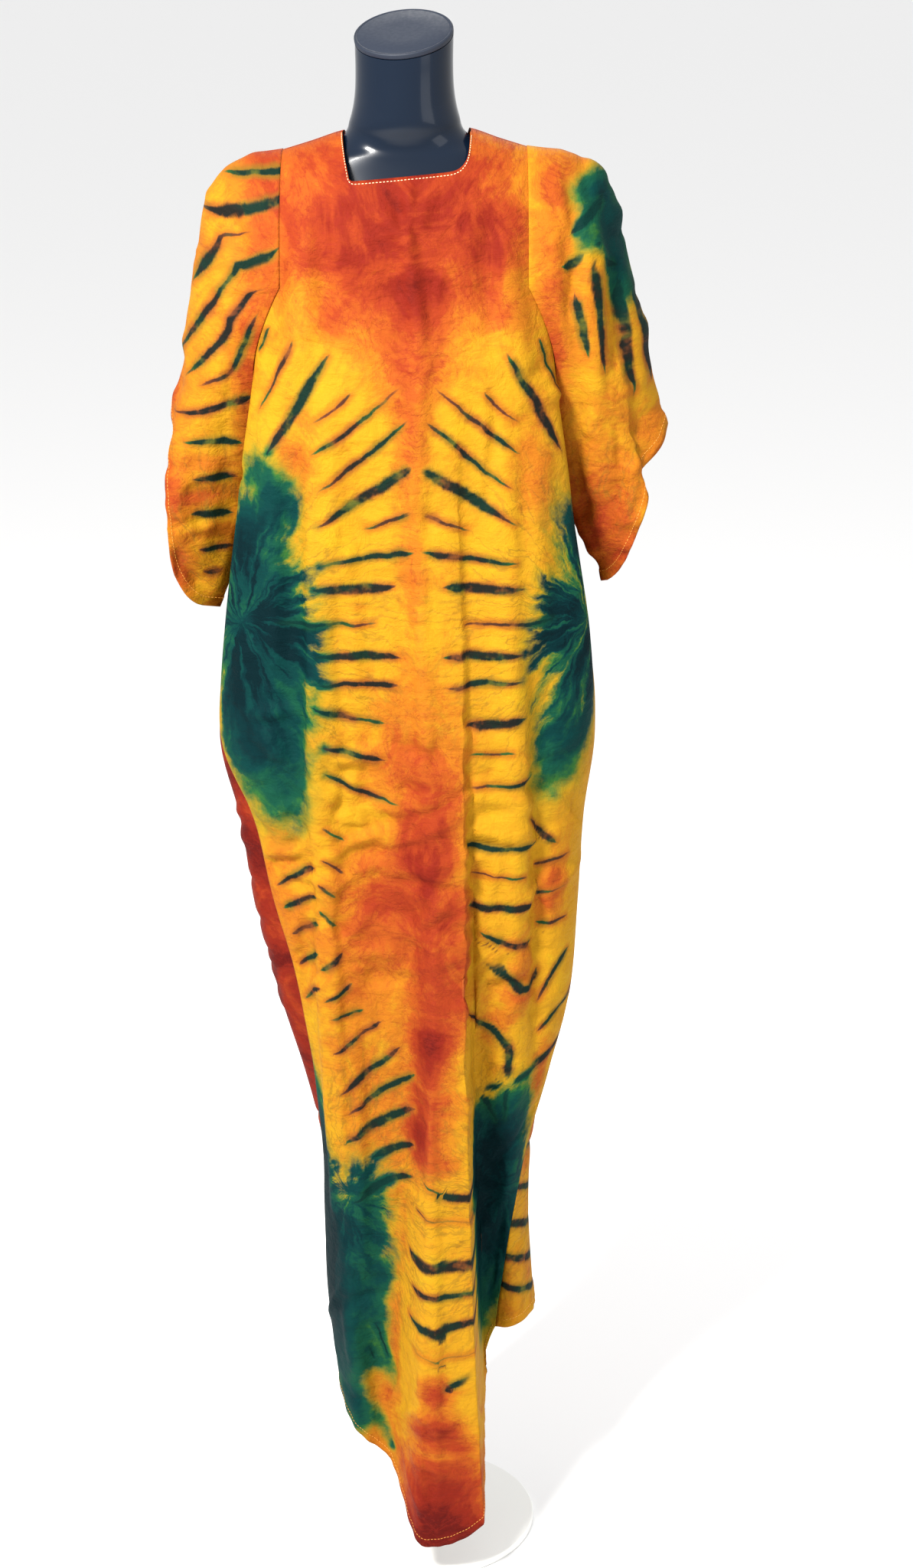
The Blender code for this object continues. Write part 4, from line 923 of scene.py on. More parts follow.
SLEEVE_LEFT_GREEN = (
    (0.202, 1.440, 0.016, 0.060, 12, 1.25),
    (0.178, 1.486, 0.022, 0.018, 0, 0.70),
    (0.172, 1.446, 0.012, 0.022, 0, 0.55),
)
SLEEVE_LEFT_WARM = (
    (0.196, 1.140, 0.040, 0.075, 0, 0.50),
    (0.140, 1.300, 0.016, 0.200, 0, 0.30),
    (0.150, 1.490, 0.030, 0.030, 0, 0.25),
    (0.246, 1.240, 0.016, 0.030, 0, 0.20),
)
SLEEVE_RIGHT_WARM = (
    (-0.124, 1.500, 0.030, 0.060, 0, 0.34),
    (-0.134, 1.400, 0.020, 0.100, 0, 0.22),
    (-0.236, 1.290, 0.012, 0.035, 0, 0.62),
    (-0.236, 1.200, 0.016, 0.030, 0, 0.44),
    (-0.228, 1.110, 0.016, 0.030, 0, 0.40),
    (-0.150, 1.300, 0.014, 0.140, 0, 0.22),
    (-0.196, 1.222, 0.034, 0.008, 0, 0.20),
    (-0.196, 1.184, 0.034, 0.008, 0, 0.22),
    (-0.196, 1.146, 0.034, 0.008, 0, 0.20),
)

# Each sleeve's side, shape, notch, creases, the seed and area of its small creases, its streaks, and its warm
# and its green fields
SLEEVES = {
    "right_sleeve": (
        -1,
        SLEEVE_RIGHT,
        0.88,
        SLEEVE_RIGHT_CREASES,
        32,
        ((-0.25, 1.08), (-0.13, 1.50)),
        SLEEVE_RIGHT_STREAKS,
        SLEEVE_RIGHT_WARM,
        (),
    ),
    "left_sleeve": (
        1,
        SLEEVE_LEFT,
        0.74,
        SLEEVE_LEFT_CREASES,
        31,
        ((0.13, 1.10), (0.25, 1.50)),
        SLEEVE_LEFT_STREAKS,
        SLEEVE_LEFT_WARM,
        SLEEVE_LEFT_GREEN,
    ),
}

# The dye's colours on the warm ground and in the green bursts: place on the ramp, red, green and blue
GROUND_STOPS = (
    (0.00, 252, 204, 34),
    (0.14, 242, 176, 34),
    (0.30, 230, 136, 34),
    (0.46, 212, 100, 34),
    (0.62, 190, 70, 32),
    (0.80, 158, 44, 26),
    (1.00, 118, 28, 22),
)
GREEN_STOPS = (
    (0.10, 112, 148, 48),
    (0.20, 62, 126, 58),
    (0.34, 22, 90, 68),
    (0.52, 6, 68, 66),
    (0.74, 2, 52, 56),
    (1.00, 1, 38, 44),
)

# How near the centre crease the cloth's distances are set, and how far each side's own reach past it
CENTRE_REACH = 0.03
CENTRE_LAP = 0.006
# The front's upper half is mirrored above this height, and the back has streaks of its own below the other
BODICE_Z = 1.0
FLAP_Z = 0.52
CURVE_POINTS = 15
STREAK_REACH = 0.030
# How quickly a streak grows from its ends to its full thickness, and the share that it starts with
TAPER = 5.5
BLUNT = 0.15
# Middles of the dye's bursts, in cloth coordinates, with their strength, and how far their shards reach
BURSTS = ((0.185, 1.075, 1.0), (0.120, 0.440, 0.45), (0.165, 0.430, 0.45))
BURST_REACH = 0.20
# How much light the dyed cloth gives back
DYE_DEPTH = 0.465
# How strongly the creases stand out, the narrow ones more than the others
RELIEF = 3.0
SHARP_RELIEF = 3.8
SHARP_WIDTH = 0.0085
BREADTH = 1.35
RELIEF_LIMIT = 0.0070
# The weave: its threads' spacing, and how its slubs repeat across and along a thread
THREAD = 0.0011
SLUB_ACROSS = 1400
SLUB_ALONG = 130
# The creases fade out towards the panels' edges and towards the armholes
EDGE_FADE = 0.016
ARMHOLE_FADE = 0.05
# The sleeve laps over the panels at the armhole, pressed into them
SEAM_LAP = 0.003
SEAM_PRESSED = 0.0010
# How far the sleeves' dye is shifted up the cloth towards their backs
SLEEVE_TURN = 0.9
# What is turned in at the neck, the hem and the cuffs, how far it stands up, and where it is stitched
NECK_TURNING = 0.0055
NECK_RISE = 0.0006
NECK_STITCH = 0.0035
HEM_TURNING = 0.011
HEM_RISE = 0.0007
HEM_PUCKER = 0.0005
PUCKER_LENGTH = 0.017
HEM_STITCH = 0.0095
CUFF_TURNING = 0.012
CUFF_RISE = 0.0007
CUFF_STITCH = 0.010
# A row of stitches: spacing, length, thickness and lift. A stitch is thinner towards its ends
NECK_KIND = (0.0034, 0.0022, 0.0009, 0.0003)
HEM_KIND = (0.0036, 0.0026, 0.0006, 0.0001)
STITCH_SWELL = ((0.0, 0.35), (0.2, 0.9), (0.5, 1.0), (0.8, 0.9), (1.0, 0.35))
SHARP_ANGLE = 50

# The cut of each piece that shows: its node, width and length, and its flat area
CUTS = {
    "front_panel": ("dress_front", 0.54, 1.49, 0.57),
    "back_panel": ("dress_back", 0.64, 1.43, 0.64),
    "right_sleeve": ("sleeve_right", 0.78, 0.31, 0.103),
    "left_sleeve": ("sleeve_left", 0.79, 0.34, 0.109),
}

LENS = 70.45
CAMERA = (0.039, -2.999, 1.90)
CAMERA_DOWN = 18.9
WORLD_LIGHT = 0.92
KEY_LIGHT = 225
FILL_LIGHT = 10
BACK_LIGHT = 20


def from_centre(x, run, centre):
    """A level's distances along the cloth, counted from the centre crease."""
    near = np.abs(x - centre) < CENTRE_REACH
    order = np.argsort(x[near])
    return run - np.interp(centre, x[near][order], run[near][order])


def centre_x(z, front=True):
    """Where the centre crease is at a height. The back's is straight."""
    return at(CENTRE, CENTRE_COLUMNS, "x", z) if front else 0.0


def place_s(surface, front):
    """For each level, the x in the object's frame and the distance along the cloth from the centre crease."""
    rows = []
    for z in LEVELS:
        angles = np.linspace(*panel_ends(z, front), FINE_STEPS)
        points = look_up(surface, angles, np.full(angles.shape, z))
        x = points[:, 0] - MIDDLE_X
        s = from_centre(x, run_along(points[:, :2]), centre_x(z, front))
        rows.append((x, s if front else -s))
    return rows


def cloth_s(rows, x, z, front=True):
    """The cloth's s for a point in the front view, on its own side of the centre crease."""
    side = 1 if x > centre_x(z, front) else -1
    level = int(np.clip(round((z - LEVELS[0]) / LEVEL_STEP), 0, len(LEVELS) - 1))
    row_x, row_s = rows[level]
    here = row_s * side > -CENTRE_LAP
    order = np.argsort(row_s[here] * side)
    out_x = np.maximum.accumulate(row_x[here][order] * side)
    return side * float(np.interp(x * side, out_x, (row_s[here] * side)[order]))


def flat_s(x, z):
    """A sleeve's s, which is the front view's x."""
    return x


def through(a, b, c):
    """A smooth curve through three points."""
    t = np.linspace(0, 1, CURVE_POINTS)[:, None]
    return a * (1 - t) * (1 - 2 * t) + b * 4 * t * (1 - t) + c * t * (2 * t - 1)


def streak_curves(table, place):
    """A table of streaks as curves in cloth coordinates, with their thickness."""
    made = []
    for row in table:
        corners = [(place(x, z), z, thick) for x, z, thick in zip(row[0::3], row[1::3], row[2::3])]
        made.append(through(*np.array(corners)))
    return made


def near_curve(s, z, curve, reach):
    """Which points are within reach of the box around a curve."""
    low, high = curve[:, :2].min(axis=0) - reach, curve[:, :2].max(axis=0) + reach
    return (s > low[0]) & (s < high[0]) & (z > low[1]) & (z < high[1])


def nearest(s, z, curve):
    """Signed distance from points to a curve, the curve's value there, and how far beyond its ends they are."""
    start, step = curve[:-1], np.diff(curve, axis=0)
    off_s = s[:, None] - start[None, :, 0]
    off_z = z[:, None] - start[None, :, 1]
    square = step[:, 0] ** 2 + step[:, 1] ** 2 + TINY
    forward = off_s * step[:, 0] + off_z * step[:, 1]
    part = np.clip(forward / square, 0, 1)
    d_s, d_z = off_s - part * step[:, 0], off_z - part * step[:, 1]
    gap = np.hypot(d_s, d_z)
    best = np.argmin(gap, axis=1)
    along = forward / np.sqrt(square)
    beyond = np.maximum(-along[:, 0], along[:, -1] - np.sqrt(square[-1]))
    pick = (np.arange(len(s)), best)
    turned = np.sign(step[best, 0] * d_z[pick] - step[best, 1] * d_s[pick])
    value = start[best, 2] + part[pick] * step[best, 2]
    return gap[pick] * np.where(turned == 0, 1, turned), value, np.maximum(beyond, 0)


def joined(curves):
    """The same curves, where one that starts at the end of the one before it goes on from it."""
    made = []
    for curve in curves:
        if made and np.allclose(made[-1][-1, :2], curve[0, :2], atol=0.0005):
            made[-1] = np.vstack([made[-1], curve[1:]])
        else:
            made.append(curve)
    return made


def streak_fields(s, z, curves):
    """Signed distance to the nearest streak, its half thickness there, and how alone it is."""
    line, first, second, over = (np.full(s.shape, STREAK_REACH) for _ in range(4))
    half = np.zeros(s.shape)
    for turn, curve in enumerate(joined(curves)):
        part = np.linspace(0, 1, len(curve))
        taper = np.clip(TAPER * np.minimum(part, 1 - part), BLUNT, 1)
        curve = np.column_stack([curve[:, :2], curve[:, 2] * taper])
        near = near_curve(s, z, curve, STREAK_REACH)
        if not near.any():
            continue
        gap, value, beyond = nearest(s[near], z[near], curve)
        size = np.abs(gap)
        closer = size < first[near]
        second[near] = np.where(closer, first[near], np.minimum(second[near], size))
        line[near] = np.where(closer, gap if turn % 2 else -gap, line[near])
        half[near] = np.where(closer, value / 2, half[near])
        over[near] = np.where(closer, beyond, over[near])
        first[near] = np.where(closer, size, first[near])
    alone = ramp((second - first - 0.0075) / 0.004)
    ink = alone * ramp((0.0080 - first) / 0.003) * ramp(0.5 - over / 0.008)
    return {"line": line, "half": half, "ink": ink}


def soft_fields(s, z, table, place):
    """The sum of a table's soft fields of colour."""
    total = np.zeros(s.shape)
    for x, height, across, up, lean, amount in table:
        middle = place(x - MIDDLE_X, height)
        turn = radians(lean)
        d_s, d_z = s - middle, z - height
        a = (d_s * np.cos(turn) + d_z * np.sin(turn)) / across
        b = (d_z * np.cos(turn) - d_s * np.sin(turn)) / up
        total += amount * np.exp(-((a * a + b * b) ** 1.2))
    return total


def crease_relief(s, z, curves, table):
    """The creases' height above the cloth: a soft ridge or trough along each, with a slight dip beside it."""
    total = np.zeros(s.shape)
    for curve, row in zip(curves, table):
        height, width = row[4], row[5] * BREADTH
        near = near_curve(s, z, curve, width * 4)
        if not near.any():
            continue
        gap, along, _ = nearest(s[near], z[near], curve)
        q = (gap / width) ** 2
        fade = np.sin(pi * np.clip(0.06 + 0.88 * along, 0, 1)) ** 0.7
        strength = RELIEF if row[5] > SHARP_WIDTH else SHARP_RELIEF
        total[near] += strength * height * np.exp(-q) * (1 - 0.45 * q) * fade
    return RELIEF_LIMIT * np.tanh(total / RELIEF_LIMIT)


def crease_curves(table, place):
    """Each crease as a bowed curve in cloth coordinates, valued by the share of its length."""
    made = []
    t = np.linspace(0, 1, CURVE_POINTS)
    for x_a, z_a, x_b, z_b, _, _, bow in table:
        a, b = (np.array((place(x - MIDDLE_X, z), z)) for x, z in ((x_a, z_a), (x_b, z_b)))
        side = np.array((a[1] - b[1], b[0] - a[0]))
        side /= np.linalg.norm(side) + 1e-9
        line = a + (b - a) * t[:, None] + side * (bow * 4 * t * (1 - t))[:, None]
        made.append(np.column_stack([line, t]))
    return made


def small_creases(seed, count, low, high, upright):
    """Slight wrinkles with even chances over an area, as rows of a crease table."""
    rng = np.random.default_rng(seed)
    rows = []
    for _ in range(count):
        x, z = rng.uniform(low, high)
        level = rng.random() > upright
        turn = rng.normal(0 if level else pi / 2, 0.35)
        long = rng.uniform(0.015, 0.045)
        d_x, d_z = long * np.cos(turn), long * np.sin(turn)
        height = rng.choice((-1, 1)) * rng.uniform(0.0004, 0.0010)
        width, bow = rng.uniform(0.004, 0.008), rng.normal(0, 0.004)
        rows.append((x - d_x, z - d_z, x + d_x, z + d_z, height, width, bow))
    return rows


def grid_normals(points, ring, like=None):
    """Normals of a grid, joined across its ends if it is a ring, on the same side as the given ones."""
    if ring:
        across = np.roll(points, -1, axis=1) - np.roll(points, 1, axis=1)
    else:
        across = np.gradient(points, axis=1)
    out = np.cross(across, np.gradient(points, axis=0))
    out /= np.linalg.norm(out, axis=2, keepdims=True) + TINY
    return out if like is None or (out * like).sum() > 0 else -out


def show(name, data, finish=None):
    """Puts data into the scene as a new object."""
    if finish:
        data.materials.append(finish)
    made = bpy.data.objects.new(name, data)
    bpy.context.scene.collection.objects.link(made)
    return made


def show_mesh(name, work, finish):
    """The same for a bmesh, which is used up."""
    data = bpy.data.meshes.new(name)
    work.to_mesh(data)
    work.free()
    data.shade_smooth()
    return show(name, data, finish)


def add_tube(work, rings):
    """Adds a closed tube through rings of points, with flat ends."""
    made = [[work.verts.new(point) for point in ring] for ring in rings]
    for low, high in zip(made, made[1:]):
        for c in range(len(low)):
            d = (c + 1) % len(low)
            work.faces.new((low[c], low[d], high[d], high[c]))
    work.faces.new(made[0][::-1])
    work.faces.new(made[-1])


def shell_faces(rows, count, ring):
    """The quads of a closed shell: both skins of a grid and the strips along its open edges."""
    index = np.arange(rows * count).reshape(rows, count)
    right = np.roll(index, -1, axis=1) if ring else index[:, 1:]
    left = index if ring else index[:, :-1]
    skin = np.stack([left[:-1], right[:-1], right[1:], left[1:]], axis=-1).reshape(-1, 4)
    edges = [(right[0], left[0]), (left[-1], right[-1])]
    if not ring:
        edges += [(index[:-1, 0], index[1:, 0]), (index[1:, -1], index[:-1, -1])]
    behind = rows * count
    strips = [np.stack([a, b, b + behind, a + behind], axis=-1) for a, b in edges]
    return np.concatenate([skin, skin[:, ::-1] + behind, *strips])


def cloth_object(name, outer, normals, ring, fields, cloth_uv, finish):
    """A thin closed shell of cloth, with its dye's fields and its cloth coordinates as attributes."""
    rows, count = outer.shape[:2]
    inner = outer - normals * SHELL
    points = np.concatenate([outer.reshape(-1, 3), inner.reshape(-1, 3)]) - MIDDLE
    faces = shell_faces(rows, count, ring)
    data = bpy.data.meshes.new(name)
    data.vertices.add(len(points))
    data.vertices.foreach_set("co", points.astype(np.float32).ravel())
    data.loops.add(faces.size)
    data.loops.foreach_set("vertex_index", faces.astype(np.int32).ravel())
    data.polygons.add(len(faces))
    data.polygons.foreach_set("loop_start", np.arange(0, faces.size, 4, dtype=np.int32))
    data.polygons.foreach_set("use_smooth", np.ones(len(faces), dtype=bool))
    data.update(calc_edges=True)
    work = bmesh.new()
    work.from_mesh(data)
    bmesh.ops.recalc_face_normals(work, faces=work.faces)
    work.to_mesh(data)
    work.free()
    both = {key: np.concatenate([values.ravel()] * 2) for key, values in fields.items()}
    both["inside"] = np.repeat((0.0, 1.0), rows * count)
    for key, values in both.items():
        data.attributes.new(key, "FLOAT", "POINT").data.foreach_set("value", values.astype(np.float32))
    layer = data.uv_layers.new(name="cloth")
    vertex = np.empty(len(data.loops), dtype=np.int32)
    data.loops.foreach_get("vertex_index", vertex)
    flat = np.concatenate([cloth_uv.reshape(-1, 2)] * 2)
    layer.data.foreach_set("uv", flat[vertex].astype(np.float32).ravel())
    return show(name, data, finish)


class Wire:
    """A value in a material's node tree, which adds, subtracts and multiplies as numbers do."""

    def __init__(self, graph, socket):
        self.graph, self.socket = graph, socket

    def __add__(self, other):
        return self.graph.math("ADD", self, other)

    def __sub__(self, other):
        return self.graph.math("SUBTRACT", self, other)

    def __mul__(self, other):
        return self.graph.math("MULTIPLY", self, other)

    def __abs__(self):
        return self.graph.math("ABSOLUTE", self)

    __radd__, __rmul__ = __add__, __mul__


class Graph:
    """A new material with a principled shader, and short ways to write its nodes."""

    def __init__(self, name, roughness, colour=None):
        self.material = bpy.data.materials.new(name)
        self.material.use_nodes = True
        self.tree = self.material.node_tree
        self.shade({"Roughness": roughness, "Base Color": colour})

    def shade(self, values):
        """Gives the shader's sockets their values."""
        shader = self.tree.nodes["Principled BSDF"]
        for key, value in values.items():
            self.put(shader.inputs[key], value)

    def put(self, socket, value):
        if isinstance(value, Wire):
            self.tree.links.new(value.socket, socket)
        elif value is not None:
            socket.default_value = value

    def node(self, kind, output, inputs=(), **settings):
        """One output of a new node with the given settings and inputs."""
        made = self.tree.nodes.new("ShaderNode" + kind)
        for key, value in settings.items():
            setattr(made, key, value)
        for key, value in dict(inputs).items():
            self.put(made.inputs[key], value)
        return Wire(self, made.outputs[output])

    def math(self, operation, a, b=None):
        return self.node("Math", 0, enumerate((a, b)), operation=operation)

    def attribute(self, name):
        return self.node("Attribute", "Fac", attribute_name=name)

    def vector(self, x, y, z=0.0):
        return self.node("CombineXYZ", 0, enumerate((x, y, z)))

    def noise(self, vector, scale, detail=3.0, rough=0.5, distortion=0.0):
        inputs = {"Vector": vector, "Scale": scale, "Detail": detail, "Roughness": rough}
        return self.node("TexNoise", "Fac", {**inputs, "Distortion": distortion})

    def wobble(self, vector, scale, amount, detail=3.0, rough=0.5):
        """Noise about zero, of about the given amount."""
        return (self.noise(vector, scale, detail, rough) - 0.5) * (amount * 2)

    def step(self, value, low, high):
        inputs = {"Value": value, "From Min": low, "From Max": high}
        return self.node("MapRange", "Result", inputs, interpolation_type="SMOOTHSTEP")

    def mix(self, factor, a, b):
        return self.node("Mix", 2, {0: factor, 6: a, 7: b}, data_type="RGBA")

    def bump(self, height, strength, distance, under=None):
        inputs = {"Height": height, "Strength": strength, "Distance": distance, "Normal": under}
        return self.node("Bump", 0, inputs)

    def ramp(self, value, stops):
        made = self.node("ValToRGB", 0, {0: value})
        band = made.socket.node.color_ramp
        band.interpolation = "EASE"
        while len(band.elements) < len(stops):
            band.elements.new(0.5)
        for element, (place, *colour) in zip(band.elements, stops):
            element.position = place
            element.color = linear(*colour)
        return made


def linear(red, green, blue):
    """A display colour, from 0 to 255, as the shader's linear colour."""
    values = []
    for part in (red, green, blue):
        part = part / 255
        values.append(part / 12.92 if part <= 0.04045 else ((part + 0.055) / 1.055) ** 2.4)
    return (*values, 1.0)


def burst_rays(g, s, z, middle_s, middle_z):
    """Rays about the middle of a burst of dye: broad ones, fine ones, and the distance to the middle."""
    off_s = abs(s) - middle_s + g.wobble(g.vector(s, z), 26, 0.014, 4, 0.6)
    off_z = z - middle_z + g.wobble(g.vector(z, s), 24, 0.016, 4, 0.6)
    far = g.math("SQRT", off_s * off_s + off_z * off_z)
    turn = g.math("ARCTAN2", off_z, off_s)
    broad = g.noise(g.vector(turn * 3.6, far * 9.0, middle_z * 7), 1.0, 4, 0.62, 0.2)
    fine = g.noise(g.vector(turn * 11.0, far * 14.0, middle_z * 9), 1.0, 2, 0.5)
    return broad, fine, far


def warm_ground(g, warm, folded):
    """The ground's colour, clouded and veined along the folds."""
    ground = g.ramp(warm * (1 / 1.3), GROUND_STOPS)
    for scale, width, share in ((16, 0.020, 0.40), (38, 0.030, 0.30)):
        veins = g.noise(folded, scale, 5, 0.62, 1.6)
        vein = g.step(abs(veins - 0.5), width, 0.0)
        ground = g.mix(vein * (g.step(warm, 0.12, 0.55) * share), ground, linear(168, 48, 34))
    return ground


def add_bursts(g, ground, warm, green, near_line, s, z, folded):
    """The ground with the green bursts over it: their fingers, shards and fine hairs."""
    shards, fingers, hairs = 0.0, 0.5, 0.0
    for middle_s, middle_z, power in BURSTS:
        broad, fine, far = burst_rays(g, s, z, middle_s, middle_z)
        close = g.step(far, BURST_REACH, BURST_REACH * 0.4)
        inward = g.step(far, BURST_REACH * 0.9, 0.02) * g.step(far, 0.0, 0.03)
        spike = g.step(broad, 0.46, 0.58) * power * inward
        shards = g.math("MAXIMUM", shards, spike * (fine * 0.8 + 0.6))
        fingers = (broad - 0.5) * (close * power) + fingers
        hair = g.step(abs(fine - 0.5), 0.034, 0.0)
        hairs = g.math("MAXIMUM", hairs, hair * g.step(far, 0.26, 0.10))
    edge = g.wobble(folded, 26, 0.50, 6, 0.68) + (fingers - 0.5) * 2.2
    tongues = near_line * (g.step(green, 0.02, 0.30) * 0.35)
    green_edge = green + edge * g.step(green, 0.04, 0.40) + tongues
    pool = g.noise(folded, 19, 5, 0.64, 0.8)
    depth = green_edge + (pool - 0.5) * 1.2 + shards
    hairline = hairs * (g.step(warm, 0.9, 0.3) * 0.42)
    colour = g.mix(hairline, ground, linear(128, 104, 40))
    colour = g.mix(g.step(green_edge, 0.06, 0.40) * 0.62, colour, linear(176, 158, 40))
    return g.mix(g.step(green_edge, 0.24, 0.62), colour, g.ramp(depth * (1 / 2.1), GREEN_STOPS))


def add_streaks(g, colour, line, half, ink, green, s, z):
    """The colour with the dark streaks over it: a fringed core, and a halo of thin dye."""
    plain = g.vector(s, z)
    fringe = g.noise(g.vector(s * 700, z * 110), 1.0, 4, 0.75)
    patches = g.noise(plain, 42, 3, 0.6)
    dark = g.step(patches, 0.28, 0.50)
    broad = g.math("MAXIMUM", half * (fringe + patches * 1.5 - 0.10), 0.0002)
    core = g.step(line, broad + 0.0006, broad * 0.55) * ink * g.step(half, 0.0002, 0.0009)
    halo = g.step(line, broad * 1.7 + 0.0052, broad * 0.5) * ink * g.step(half, 0.0002, 0.0020)
    leafy = g.step(g.noise(plain, 23, 3, 0.55), 0.44, 0.56)
    greened = g.step(green, 0.04, 0.35)
    tint = g.mix(leafy, linear(140, 74, 44), linear(84, 116, 40))
    tint = g.mix(greened, tint, linear(24, 92, 62))
    colour = g.mix(halo * 0.62, colour, tint)
    inks = g.mix(leafy, linear(28, 36, 34), linear(10, 50, 42))
    faint = g.mix(leafy, linear(112, 62, 44), linear(46, 104, 50))
    inks = g.mix(dark * g.step(half, 0.0006, 0.0020), faint, inks)
    inks = g.mix(greened, inks, linear(8, 56, 50))
    return g.mix(core * (dark * 0.42 + 0.56), colour, inks)


def dyed_cloth():
    """Plain-woven cloth with its folded dye: a warm ground, green bursts and dark fringed streaks."""
    g = Graph("dyed_cloth", 0.68)
    split = g.node("SeparateXYZ", 0, {0: g.node("UVMap", 0, uv_map="cloth")}).socket.node
    s, z = (Wire(g, split.outputs[axis]) for axis in (0, 1))
    plain = g.vector(s, z)
    folded = g.vector(abs(s), z, s * 0.22)

    warm, green, line, half, ink = (g.attribute(name) for name in ("warm", "green", "line", "half", "ink"))
    clouds = g.noise(folded, 15, 6, 0.66, 0.9)
    warm = warm + (clouds - 0.5) * (g.step(warm, 0.2, 0.7) * 0.95 + 0.55) + g.wobble(folded, 60, 0.10, 4, 0.65)
    line = abs(line + g.wobble(plain, 70, 0.0020, 3, 0.6) + g.wobble(plain, 20, 0.0044, 2, 0.5))
    near_line = g.step(line, 0.0095, 0.0010) * ink * g.step(half, 0.0001, 0.0006)
    ground = g.mix(near_line * 0.72, warm_ground(g, warm, folded), linear(220, 124, 32))
    colour = add_bursts(g, ground, warm, green, near_line, s, z, folded)
    colour = add_streaks(g, colour, line, half, ink, green, s, z)

    slub = g.noise(g.vector(s * SLUB_ACROSS, z * SLUB_ALONG), 1.0, 2, 0.5)
    pick = g.noise(g.vector(s * SLUB_ALONG, z * SLUB_ACROSS), 1.0, 2, 0.5)
    grain = (slub - 0.5) * 0.16 + (pick - 0.5) * 0.16
    bright = g.node("HueSaturation", 0, {"Value": grain * DYE_DEPTH + DYE_DEPTH, "Color": colour})
    faded = g.mix(g.attribute("inside") * 0.30, bright, linear(150, 84, 40))

    warp, weft = (g.math("SINE", axis * (2 * pi / THREAD)) for axis in (s, z))
    weave = g.bump(warp * weft * 0.5 + (slub + pick), 0.35, 0.00035)
    crumple = g.noise(plain, 55, 4, 0.6, 0.6)
    pressed = g.noise(g.vector(s * 0.35, z), 90, 3, 0.55, 0.4)
    ripple = g.bump(crumple + pressed * 0.7, 0.9, 0.0032, weave)
    g.shade({"Base Color": faded, "Normal": ripple, "Specular IOR Level": 0.05})
    return g.material


def panel_s(x, y, z, front, chest):
    """Each point's distance along the cloth from the centre crease, and along its row from the row's start."""
    run = run_along(np.stack([x.T, y.T], axis=-1)).T
    s = np.zeros(x.shape)
    middle = slice(int(x.shape[1] * 0.2), int(x.shape[1] * 0.8))
    for r in range(chest + 1):
        s[r] = from_centre(x[r], run[r], centre_x(z[r, middle].mean(), front))
    order = np.argsort(x[chest])
    for r in range(chest + 1, len(x)):
        s[r] = np.interp(x[r], x[chest][order], s[chest][order])
    return s if front else -s, run


def front_dye(s, z, place, own_place):
    """The front's streaks, and how warm and how green its ground is. The green also holds painted shade in the
    trough on the lower left and in the recess beside the pleat.
    """
    curves = streak_curves(STREAKS + CENTRE_STREAKS + RIGHT_STREAKS, place)
    mirrored = [curve * (-1, 1, 1) for curve in streak_curves(STREAKS, place)]
    curves += [curve for curve in mirrored if curve[:, 1].mean() > BODICE_Z]
    high = [row for row in WARM_FIELDS if row[1] > BODICE_Z and row[0] < -0.02]
    warm = 0.20 + soft_fields(s, z, WARM_FIELDS, own_place) + soft_fields(-s, z, high, own_place)
    greens = UPPER_GREEN_FIELDS + LOWER_GREEN_AND_TROUGH_SHADE_FIELDS
    return curves, warm, soft_fields(s, z, greens, own_place) + soft_fields(s, z, RIGHT_GREEN_AND_RECESS_SHADE_FIELDS, own_place)


def back_dye(s, z, place, own_place):
    """The same for the back, mostly from the front's left half, which shows in the photo."""
    curves = streak_curves(STREAKS + CENTRE_STREAKS[3:], place)
    curves += [curve * (-1, 1, 1) for curve in streak_curves(STREAKS, place)]
    curves = [curve for curve in curves if curve[:, 1].mean() > FLAP_Z or abs(curve[:, 0].mean()) < 0.02]
    curves += streak_curves(FLAP_STREAKS, flat_s)
    folded, aside = -np.abs(s), np.abs(s)
    warm = 0.22 + soft_fields(folded, z, [row for row in WARM_FIELDS if row[0] < 0.055], place)
    warm += 0.75 * ramp((z - 0.50) / 0.16) * ramp((1.10 - z) / 0.2) * ramp((aside - 0.17) / 0.05)
    warm = warm * (1 - 0.4 * ramp((0.54 - z) / 0.1) * ramp((s - 0.08) / 0.04)) + 0.12
    green = soft_fields(folded, z, UPPER_GREEN_FIELDS, place)
    green = green * (1 - ramp((aside - 0.18) / 0.04) * ramp((1.02 - z) / 0.1))
    # The lower green fields hold painted shade of the front's trough, and are copied here onto the back
    green += soft_fields(folded, z, LOWER_GREEN_AND_TROUGH_SHADE_FIELDS, place) * (1 - ramp((s - 0.03) / 0.04))
    return curves, warm, green


